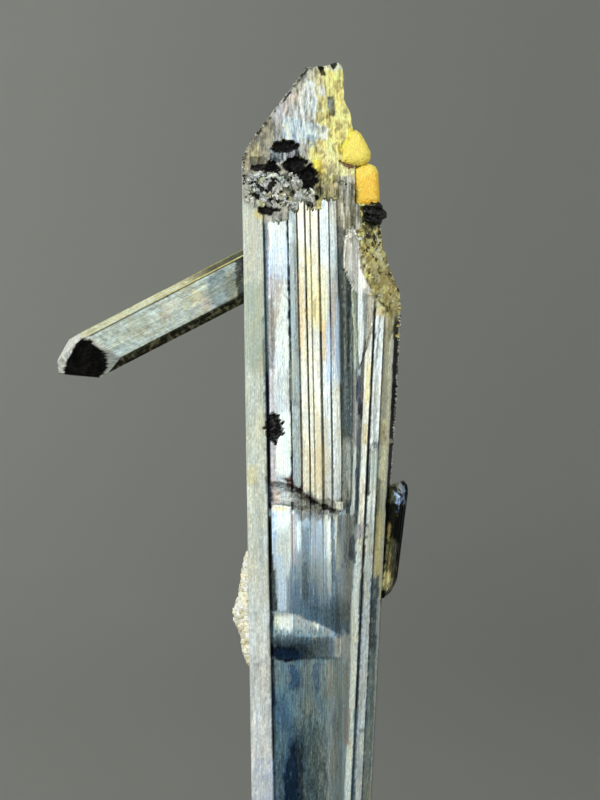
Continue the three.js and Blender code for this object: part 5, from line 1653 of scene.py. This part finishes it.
def crossing_crystal() -> Surface:
    """The thinner prism that comes out to the left from behind the main crystal, and its blunt dark tip.

    Returns:
        Its surface.
    """
    axis = np.array([-math.cos(SLOPE), -0.03, -math.sin(SLOPE)])
    up = np.array([-math.sin(SLOPE), 0, math.cos(SLOPE)])
    axis = axis / np.linalg.norm(axis)
    prism = Prism(
        seat=np.array([-5.4, 1.35, 61.05]),
        along=axis,
        across=up,
        back=np.cross(axis, up),
        start=-4,
        outline=(
            (2.4, 0.75), (1.55, 1.65), (0.3, 1.8), (0.1, 1.6), (-1.35, 1.7), (-2.35, 0.7), (-2.43, -0.8),
            (-1.75, -1.65), (-1.57, -1.78), (1.72, -1.72), (1.84, -1.6), (1.95, -1.45), (2.43, -0.75),
        ),
        # The dark films of the fifth to eighth facets, which face down, are painted shade.
        films=(
            ("#d9d49a", 0.4), ("#8d9a8c", 0.35), ("#2a2f2c", 0.4), ("#95a39a", 0.35), ("#6c6a52", 0.4),
            ("#4c4a3a", 0.45), ("#3f3e31", 0.45), ("#55543f", 0.4), ("#bfcbc4", 0.42), ("#3b3d34", 0.4),
            ("#fffbd0", 0.5), ("#fffbd0", 0.5), ("#fff3b0", 0.5),
        ),
        planes=(
            ((-24.2, 0, 53), (-0.74, -0.5, 0.45), "#ffffff", 0.6),
            ((-22, -0.77, 53.7), (-0.235, -0.906, -0.351), "#efeee8", 0.5),
            ((-23, 0, 50.4), (-0.1, -0.05, -0.99), "#2c241c", 0.4),
            ((-24.9, 1.6, 51.2), (-0.62, 0.74, 0.25), "#8d9a8c", 0.35),
        ),
    )
    return prism.surface(crossing_films)


# Films of the short crystal, by height and by how far right they are.
SHORT_FILMS = (
    Film(Tint.OLIVE, ((39.8, 8, 8.9), (38.9, 7.8, 8.6)), 0.8, 0.1, 0.2, 0.25),
    Film(Tint.MOSS, ((39.2, 7.8, 8.7), (37.6, 7.7, 8.4)), 0.9, 0.1, 0.3, 0.25),
    Film(Tint.SKY, ((39.2, 8.7, 9.6), (37.6, 8.6, 9.6)), 0.95, 0.1, 0.3, 0.25),
    Film(Tint.WHITE, ((39.6, 9, 9.3), (38.4, 8.8, 9.1)), 0.9, 0.1, 0.2, 0.2),
    Film(Tint.NAVY, ((38.6, 9.2, 9.5), (37.9, 8.8, 9)), 0.7, 0.1, 0.2, 0.2),
    Film(Tint.UMBER, ((35.5, 7.75, 8.05), (32, 7.75, 8.05)), 0.9, 0.08, 0.6, 0.15),
    Film(Tint.AMBER, ((32.6, 7.8, 8.2), (30.8, 7.8, 8.2)), 0.8, ragged=0.15),
    Film(Tint.SMOKE, ((33.5, 8.3, 8.8), (30, 8, 8.5)), 0.9, 0.1, 0.8, 0.15),
    Film(Tint.MOSS, ((34, 7.6, 8.5), (29.5, 7.4, 8.2)), 0.8, 0.1, 0.8, 0.2),
    Film(Tint.STRAW, ((30.5, 7.4, 8.1), (28.8, 7.3, 8)), 0.85, 0.15, 0.4, 0.25),
)


def short_films(tint: Array, points: Array, facet: Array) -> Array:
    """Lays the short crystal's films over its black: a blue glint near the top, olive and gold lower down.

    Args:
        tint: the colours so far.
        points: the surface's points.
        facet: the facet that each point is on, which its films don't need.

    Returns:
        The new colours.
    """
    x, y, z = points[..., 0], points[..., 1], points[..., 2]
    for film in SHORT_FILMS:
        tint = film.lay(tint, x, z, (y < 0.2).astype(float))
    tint = shaded(tint, 0.5 * noise(z / 0.5, x / 0.2 + y / 0.3, 130, 2))
    return blend(tint, Tint.JET.rgb, ramp(0.2, 0.45, noise(z / 0.45, x / 0.18 + y / 0.3, 131, 2)))


def short_crystal() -> Surface:
    """The short dark prism that lies along the lower right edge.

    Returns:
        Its surface.
    """
    foot, head = np.array([7.6, -0.75, 27.6]), np.array([9.15, -0.75, 40.6])
    axis = (head - foot) / np.linalg.norm(head - foot)
    back = np.array([0, 1, 0.0])
    prism = Prism(
        seat=foot,
        along=axis,
        across=np.cross(back, axis),
        back=back,
        start=-3,
        outline=(
            (0.9, -0.1), (0.8, 0.75), (0.1, 1.2), (-2, 0.8), (-2.2, -0.2), (-0.6, -1.1), (0.2, -1.25),
            (0.45, -1.05),
        ),
        films=(
            ("#0c100d", 0.3), ("#151a18", 0.35), ("#20261f", 0.35), ("#20261f", 0.35), ("#1c2018", 0.35),
            ("#12140c", 0.35), ("#0a0d09", 0.3), ("#070908", 0.3),
        ),
        planes=(
            ((9, -1.2, 38.9), (0.45, -0.56, 0.7), "#0a0c0b", 0.2),
            ((8.6, -0.8, 39.6), (-0.5, 0.2, 0.84), "#14160f", 0.35),
            ((8.72, -0.8, 30), (0.86, -0.2, -0.47), "#0d110b", 0.35),
            ((7.7, -0.8, 28.3), (-0.1, 0.3, -0.95), "#0d110b", 0.35),
        ),
        ripple=0.09,
    )
    return prism.surface(short_films)


# ---- Ochre, crust and grains ----


@dataclass(frozen=True)
class Pillow:
    """A rounded block: an outline seen from the front, drawn in towards both its front and its back.

    Attributes:
        outline: (x, z) corners, anticlockwise seen from the front.
        front, rear: the depths of its two ends.
        bulge: the power of the profile; a high one is boxier.
        tilt: how far the middle moves right over the whole depth.
        seed: which set of lumps.
        ripe: how orange its clouds are.
        spacing: the grid's spacing round the outline.
        roundings: how many times its corners are smoothed.
    """

    outline: tuple
    front: float
    rear: float
    bulge: float = 4.5
    tilt: float = 0.0
    seed: int = 140
    ripe: float = 0.5
    spacing: float = 0.09
    roundings: int = 3

    def surface(self) -> Surface:
        """Works out the closed surface: middle + (outline - middle) (1 - |w|^n)^(1/n), for w from -1 to 1.

        Returns:
            The surface, with its clouds of orange and its pale flecks.
        """
        rim = sampled(np.array(self.outline), self.spacing, least=2)[0]
        for _ in range(self.roundings):
            rim = (np.roll(rim, 1, axis=0) + rim * 2 + np.roll(rim, -1, axis=0)) / 4
        middle = rim.mean(axis=0)
        turn = np.linspace(-1, 1, 60)
        w = np.sign(turn) * (1 - (1 - np.abs(turn)) ** 2.2)
        size = (1 - np.abs(w) ** self.bulge) ** (1 / self.bulge)
        size, w = size[1:-1, None], w[1:-1, None]
        x = middle[0] + (rim[:, 0] - middle[0]) * size - self.tilt * w / 2
        z = middle[1] + (rim[:, 1] - middle[1]) * size
        y = (self.front + self.rear) / 2 - w * (self.rear - self.front) / 2 + 0 * x
        coarse = noise(x / 0.45 + y / 0.8, z / 0.45 + y / 0.7, self.seed, 2)
        fine = noise(x / 0.14 + y / 0.2, z / 0.14 - y / 0.19, self.seed + 1, 2)
        swell = 0.05 * coarse + 0.028 * fine
        x = x + (x - middle[0]) * swell
        z = z + (z - middle[1]) * swell
        y = y - 0.09 * fine * np.sign(w) * size
        tint = shaded(Tint.OCHRE.rgb, 0.1 * fine)
        low = ramp(0.95, 0.0, (z - middle[1]) / (rim[:, 1].max() - middle[1]))
        orange = self.ripe * np.clip(ramp(-0.9, 0.9, coarse) * 0.5 + low * 0.4, 0, 1)
        tint = blend(tint, Tint.OCHRE_ORANGE.rgb, orange)
        tint = blend(tint, Tint.OCHRE_PALE.rgb, ramp(0.3, 0.9, fine) * 0.5)
        points = np.stack([x, y, z], -1)
        return closed_rings(points, (tint, np.full(x.shape, 0.62), np.zeros(x.shape), points))


UPPER_BLOCK = Pillow(
    (
        (3.2, 72.3), (3.05, 71.75), (3.95, 71.45), (4.7, 71.35), (5.3, 71.5), (6, 71.95),
        (6.1, 72.75), (5.68, 73.6), (5.15, 74.6), (4.5, 75.05), (3.8, 73.95), (3.3, 72.95),
    ),
    -2.6, 1.9, seed=141, ripe=0.15,
)
LOWER_BLOCK = Pillow(
    (
        (4.55, 67.3), (5.6, 67.35), (6.9, 67.5), (6.98, 68.1), (6.92, 69.6), (6.85, 70.8),
        (6.55, 71.4), (5.95, 71.62), (5.25, 71.48), (4.5, 71.1), (4.45, 69.5),
    ),
    -2.3, 2.3, bulge=5, seed=151, ripe=1,
)


KNOB_PLACE = (6.35, -1.25, 66.7)
KNOB_RADII = (1.3, 1.2, 1.25)


def knob() -> Surface:
    """The black lump under the ochre: an ellipsoid whose radius noise makes craggy, with pale specks.

    Returns:
        Its surface.
    """
    turn = np.linspace(-math.pi / 2, math.pi / 2, 60)[1:-1, None]
    around = np.linspace(0, 2 * math.pi, 96, endpoint=False)
    nx, ny, nz = np.cos(turn) * np.cos(around), np.cos(turn) * np.sin(around), np.sin(turn) + 0 * around
    reach = 0.94 + 0.36 * noise(nx * 2.4 + 3 * nz, ny * 2.4 - 2 * nz, 160, 3)
    points = np.array(KNOB_PLACE) + np.array(KNOB_RADII) * np.stack([nx, ny, nz], -1) * reach[..., None]
    spot = ramp(0.45, 0.8, noise(nx * 6, nz * 6 + ny * 3, 161, 2))
    tint = blend(Tint.KNOB.rgb, Tint.KNOB_SPECK.rgb, spot)
    return closed_rings(points, (tint, 0.3 + 0.2 * spot, 0.3 * np.ones(spot.shape), points))


def palette(colours: Sequence[tuple[str, float]], count: int, seed: int) -> Array:
    """Draws colours at random from a weighted list, and varies how light each one is by a fifth.

    Args:
        colours: (sRGB hex, weight) of each.
        count: how many are drawn.
        seed: which set of them.

    Returns:
        One linear colour a row.
    """
    rng = np.random.default_rng(seed)
    weights = np.array([weight for _, weight in colours])
    chosen = rng.choice(len(colours), count, p=weights / weights.sum())
    return np.array([linear(colour) for colour, _ in colours])[chosen] * rng.uniform(0.8, 1.2, (count, 1))


# How far the crust stands out from the left edge, by height, and where that edge is.
CRUST_OUTLINE = (
    (21.2, 0.1), (21.5, 0.3), (22.6, 0.75), (24.2, 0.95), (25.2, 1.35), (26.4, 1.75), (27.6, 1.35),
    (28.8, 1), (30.4, 0.75), (32, 0.4), (32.9, 0.1),
)
CRUST_EDGE = ((0, -5.71), (60, -6.63))


def crust(count: int = 1100) -> Surface:
    """Pale sugary grains that fill a half-round swelling on the left edge.

    A grain at height z sits at the angle a around the swelling: its stand-out times cos(a) to the left, and
    1.6 sin(a) to the back.

    Args:
        count: how many grains.

    Returns:
        All of them as one surface.
    """
    rng = np.random.default_rng(170)
    z = rng.uniform(21.5, 32.6, count)
    angle = rng.uniform(-1.35, 1.35, count)
    out = along(CRUST_OUTLINE, z) * np.cos(angle) * rng.uniform(0.7, 1.0, count)
    size = rng.uniform(0.2, 0.36, count)
    x = along(CRUST_EDGE, z) - out + size * 0.9 - 0.05
    y = -0.5 + 1.6 * np.sin(angle) * np.sqrt(np.clip(along(CRUST_OUTLINE, z), 0, 1))
    sizes = size[:, None] * rng.uniform(0.75, 1.25, (count, 3))
    tints = palette((("#f0ecd8", 5), ("#e9e3c8", 3), ("#f2f2f2", 3), ("#d8cfae", 1)), count, 171)
    return scattered(icosahedron(), np.stack([x, y, z], 1), sizes, tints, 172, roughness=0.35, polish=0.5)


def shoulder_grains(count: int = 210) -> Surface:
    """Olive, straw and black grains on the slanting right shoulder and down its outer edge.

    Args:
        count: how many grains are tried; those off the slope are left out.

    Returns:
        All of them as one surface.
    """
    rng = np.random.default_rng(180)
    z = rng.uniform(54.0, 66.9, count)
    y = rng.uniform(-3.75, 1.2, count)
    slant = MainCrystal.slant(y, z)
    right = along(MainCrystal.right_skyline, z)
    right = np.where(z < 58.2, 9.1 - 0.055 * (58.2 - z), right)
    x = np.where(z > 57.6, np.minimum(slant, right), right)
    keep = (x > 4.75) & ((z > 57.8) | (rng.random(count) < 0.25)) & (x <= right + 0.01)
    size = rng.uniform(0.05, 0.2, count) * (0.6 + 0.6 * rng.random(count))
    x = np.minimum(x, right - size * 0.5)
    sizes = size[:, None] * rng.uniform(0.5, 1.5, (count, 3)) * (1.0, 1.0, 1.25)
    colours = (
        ("#ddcc74", 5), ("#9a8843", 4), ("#f3e6a0", 4), ("#fdfae8", 3), ("#1d1e14", 1.6), ("#5a5228", 2),
    )
    tints = palette(colours, count, 181)[keep]
    centres = np.stack([x, y, z], 1)[keep]
    return scattered(icosahedron(), centres, sizes[keep], tints, 182, roughness=0.6, polish=0.4, metal=0.1)


def rubble(count: int = 380) -> Surface:
    """Bright and dark broken splinters in the hollows at the foot of the tip, standing all ways; the white of
    the bright ones is painted glint.

    Args:
        count: how many splinters are tried; those off the hollows are left out.

    Returns:
        All of them as one surface.
    """
    rng = np.random.default_rng(190)
    x = rng.uniform(-6.3, 0.3, count)
    z = rng.uniform(67.5, 70.5, count) - 0.7 * ramp(-2.5, 0.0, x)
    y = MainCrystal.leaning_face(z) + rng.uniform(-0.1, 0.5, count)
    size = rng.uniform(0.16, 0.5, count)
    thin, long = rng.uniform(0.3, 0.7, count), rng.uniform(1.0, 1.7, count)
    sizes = np.stack([size * 0.55, size * thin, size * long], 1)
    # The white and pale splinters are painted glints.
    colours = (("#ffffff", 9), ("#d9e1da", 5), ("#0b0c09", 3), ("#7c8172", 2), ("#e6e3b4", 1))
    x = np.maximum(x, -6.6 + size)
    keep = (x < -0.9) | (z < 68.9)
    centres = np.stack([x, y, z], 1)[keep]
    tints = palette(colours, count, 191)[keep]
    return scattered(splinter(), centres, sizes[keep], tints, 192, roughness=0.4, polish=0.34, metal=0.4)


def edge_beads(count: int = 150) -> Surface:
    """Tiny white and black beads on the outer right edge, and a dark beaded rim on the tip's left slope.

    Args:
        count: how many beads each of the two has.

    Returns:
        All of them as one surface.
    """
    rng = np.random.default_rng(200)
    z = rng.uniform(39.5, 56.5, count)
    x = MainCrystal.strip_inner(z) + along(MainCrystal.strip_width, z) + rng.uniform(-0.08, 0.04, count)
    y = rng.uniform(-1.1, -0.6, count)
    rim_z = rng.uniform(69.5, 81.4, count)
    rim_x = np.maximum(along(MainCrystal.left_skyline, rim_z), -6.75) + rng.uniform(0.02, 0.2, count)
    rim_y = MainCrystal.leaning_face(rim_z) + rng.uniform(-0.1, 0.85, count)
    centres = np.concatenate([np.stack([x, y, z], 1), np.stack([rim_x, rim_y, rim_z], 1)])
    sizes = rng.uniform(0.05, 0.13, (2 * count, 1)) * rng.uniform(0.8, 1.3, (2 * count, 3))
    tints = palette((("#f4f5ee", 6), ("#12130f", 4), ("#7d7f68", 2)), 2 * count, 201)
    return scattered(icosahedron(), centres, sizes, tints, 202, roughness=0.5, polish=0.35, metal=0.4)


# ---- Studio ----


@dataclass(frozen=True)
class Softbox:
    """An area light that the camera doesn't see.

    Attributes:
        name: what it is for.
        place, aim: where it is and what it faces, in millimetres.
        width, height: its size in millimetres.
        radiance: how bright its face is.
        colour: its colour.
    """

    name: str
    place: tuple[float, float, float]
    aim: tuple[float, float, float]
    width: float
    height: float
    radiance: float
    colour: str = "#ffffff"

    def build(self) -> None:
        """Makes the light; its power is radiance times pi times its area."""
        data = bpy.data.lights.new(self.name, "AREA")
        data.shape = "RECTANGLE"
        data.size, data.size_y = self.width * MM, self.height * MM
        data.energy = self.radiance * math.pi * data.size * data.size_y
        data.color = linear(self.colour)
        light = bpy.data.objects.new(self.name, data)
        light.location = Vector(self.place) * MM
        light.rotation_euler = (Vector(self.aim) - Vector(self.place)).to_track_quat("-Z", "Y").to_euler()
        light.visible_camera = False
        bpy.context.scene.collection.objects.link(light)


@dataclass
class Studio:
    """A pale floor that turns up into a wall all round, soft lights, and the camera.

    Attributes:
        floor_radius, wall_radius, wall_height: the bowl's size in millimetres.
        near, far: the paper's colours round the crystal and at the wall; the darker near one is painted
            shade.
        camera_place: where the camera is, in millimetres.
        camera_range: how far it is from the crystal's front face.
        view_height: how much height it sees at that distance.
        softboxes: the lights.
    """

    floor_radius: float = 850
    wall_radius: float = 1300
    wall_height: float = 1500
    near: str = "#7e8079"
    far: str = "#92948e"
    camera_place: tuple[float, float, float] = (-1.0, -454.5, 47.9)
    camera_range: float = 450.0
    view_height: float = 79.75
    softboxes: tuple = (
        Softbox("overhead", (0, 0, 1350), (0, 0, 0), 1700, 1700, 0.42),
        Softbox("front_key", (-50, -640, 290), (0, 0, 50), 860, 560, 2.6),
        Softbox("left_fill", (-620, -400, 170), (0, 0, 50), 420, 520, 4.2),
        Softbox("right_edge", (640, -260, 200), (0, 0, 50), 240, 420, 2.9),
        Softbox("back_left", (-450, 600, 250), (0, 0, 50), 360, 420, 1.7),
        Softbox("back_right", (690, 300, 250), (0, 0, 50), 300, 420, 1.7),
        Softbox("wall_wash", (-550, 1000, 150), (0, 1300, 100), 200, 300, 18.5),
    )

    def build(self) -> None:
        """Makes the floor, the lights, the world and the camera."""
        self.floor()
        for softbox in self.softboxes:
            softbox.build()
        self.world()
        self.camera()

    def floor(self) -> None:
        """Paper, flat, then a quarter circle up to a straight wall; its colour is graded as painted shade:
        darker round the crystal and on the right, paler at the wall and the left.
        """
        turn = np.linspace(0, math.pi / 2, 24)
        rise = self.wall_radius - self.floor_radius
        plain = np.linspace(1, self.floor_radius, 24)[:-1]
        radius = np.concatenate([plain, self.floor_radius + rise * np.sin(turn), [self.wall_radius]])
        height = np.concatenate([0 * plain, rise * (1 - np.cos(turn)), [self.wall_height]])
        around = np.linspace(0, 2 * math.pi, 96, endpoint=False)
        radii, heights = radius[:, None], height[:, None]
        grid = np.stack([radii * np.cos(around), radii * np.sin(around), heights + 0 * around], -1)
        # Painted shade: the paper darker round the crystal and on the right, paler at the wall and the left.
        share = np.repeat(ramp(120, 1000, radius), len(around))
        lean = (0.035 + 0.11 * ramp(1000, 300, radius))[:, None] * (1 - 2 * ramp(-60, 60, grid[..., 0]))
        tone = blend(linear(self.near), linear(self.far), share) * (1 + lean.reshape(-1, 1))
        mesh = bpy.data.meshes.new("floor")
        faces = ring_faces(len(radius), len(around)).tolist() + [list(range(len(around)))]
        mesh.from_pydata((grid.reshape(-1, 3) * MM).tolist(), [], faces)
        mesh.polygons.foreach_set("use_smooth", np.ones(len(mesh.polygons), bool))
        material = bpy.data.materials.new("pale_paper")
        material.use_nodes = True
        shader = material.node_tree.nodes["Principled BSDF"]
        colour = add_node(material.node_tree, "ShaderNodeAttribute", attribute_name="tone").outputs["Color"]
        material.node_tree.links.new(colour, shader.inputs["Base Color"])
        shader.inputs["Roughness"].default_value = 0.9
        layer = mesh.attributes.new("tone", "FLOAT_COLOR", "POINT")
        layer.data.foreach_set("color", np.c_[tone, np.ones(len(tone))].astype(np.float32).ravel())
        mesh.materials.append(material)
        floor = bpy.data.objects.new("floor", mesh)
        bpy.context.scene.collection.objects.link(floor)

    def world(self) -> None:
        """A dim grey surround above the wall, and plain colour management."""
        world = bpy.data.worlds.new("studio")
        world.use_nodes = True
        world.node_tree.nodes["Background"].inputs["Color"].default_value = (0.17, 0.175, 0.18, 1)
        scene = bpy.context.scene
        scene.world = world
        scene.view_settings.view_transform = "Standard"

    def camera(self) -> None:
        """A long lens level with the middle of the view, looking at the ridged face."""
        data = bpy.data.cameras.new("camera")
        data.sensor_width = 36
        data.lens = data.sensor_width * self.camera_range / self.view_height
        data.clip_start, data.clip_end = 0.01, 20
        camera = bpy.data.objects.new("camera", data)
        camera.location = Vector(self.camera_place) * MM
        camera.rotation_euler = (math.pi / 2, 0, 0)
        bpy.context.scene.collection.objects.link(camera)
        bpy.context.scene.camera = camera


def main() -> None:
    """Builds the studio and every piece of the specimen."""
    logging.basicConfig(level=logging.INFO, format="%(message)s")
    Studio().build()
    finishes = (STIBNITE, ETCHED, STIBICONITE, SUGARY)
    striated, etched, earthy, sugary = (finish.material() for finish in finishes)
    pieces = (
        ("main_crystal", MainCrystal().surface(), striated, "stibnite_crystals", "stibnite"),
        ("crossing_crystal", crossing_crystal(), striated, "stibnite_crystals", "stibnite"),
        ("short_crystal", short_crystal(), striated, "stibnite_crystals", "stibnite"),
        ("black_knob", knob(), etched, "stibnite_crystals", "stibnite"),
        ("shoulder_grains", shoulder_grains(), etched, "stibnite_crystals", "stibnite"),
        ("rubble", rubble(), etched, "stibnite_crystals", "stibnite"),
        ("edge_beads", edge_beads(), etched, "stibnite_crystals", "stibnite"),
        ("ochre_upper", UPPER_BLOCK.surface(), earthy, "ochre_block_upper", "stibiconite"),
        ("ochre_lower", LOWER_BLOCK.surface(), earthy, "ochre_block_lower", "stibiconite"),
        ("crust", crust(), sugary, "pale_crust", "pale_crust"),
    )
    for name, surface, material, node, slot in pieces:
        piece = surface.build(name, material)
        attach(piece, "root")
        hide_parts(node)
        log.info("%s: %d faces", name, len(surface.faces))


if __name__ == "__main__":
    main()
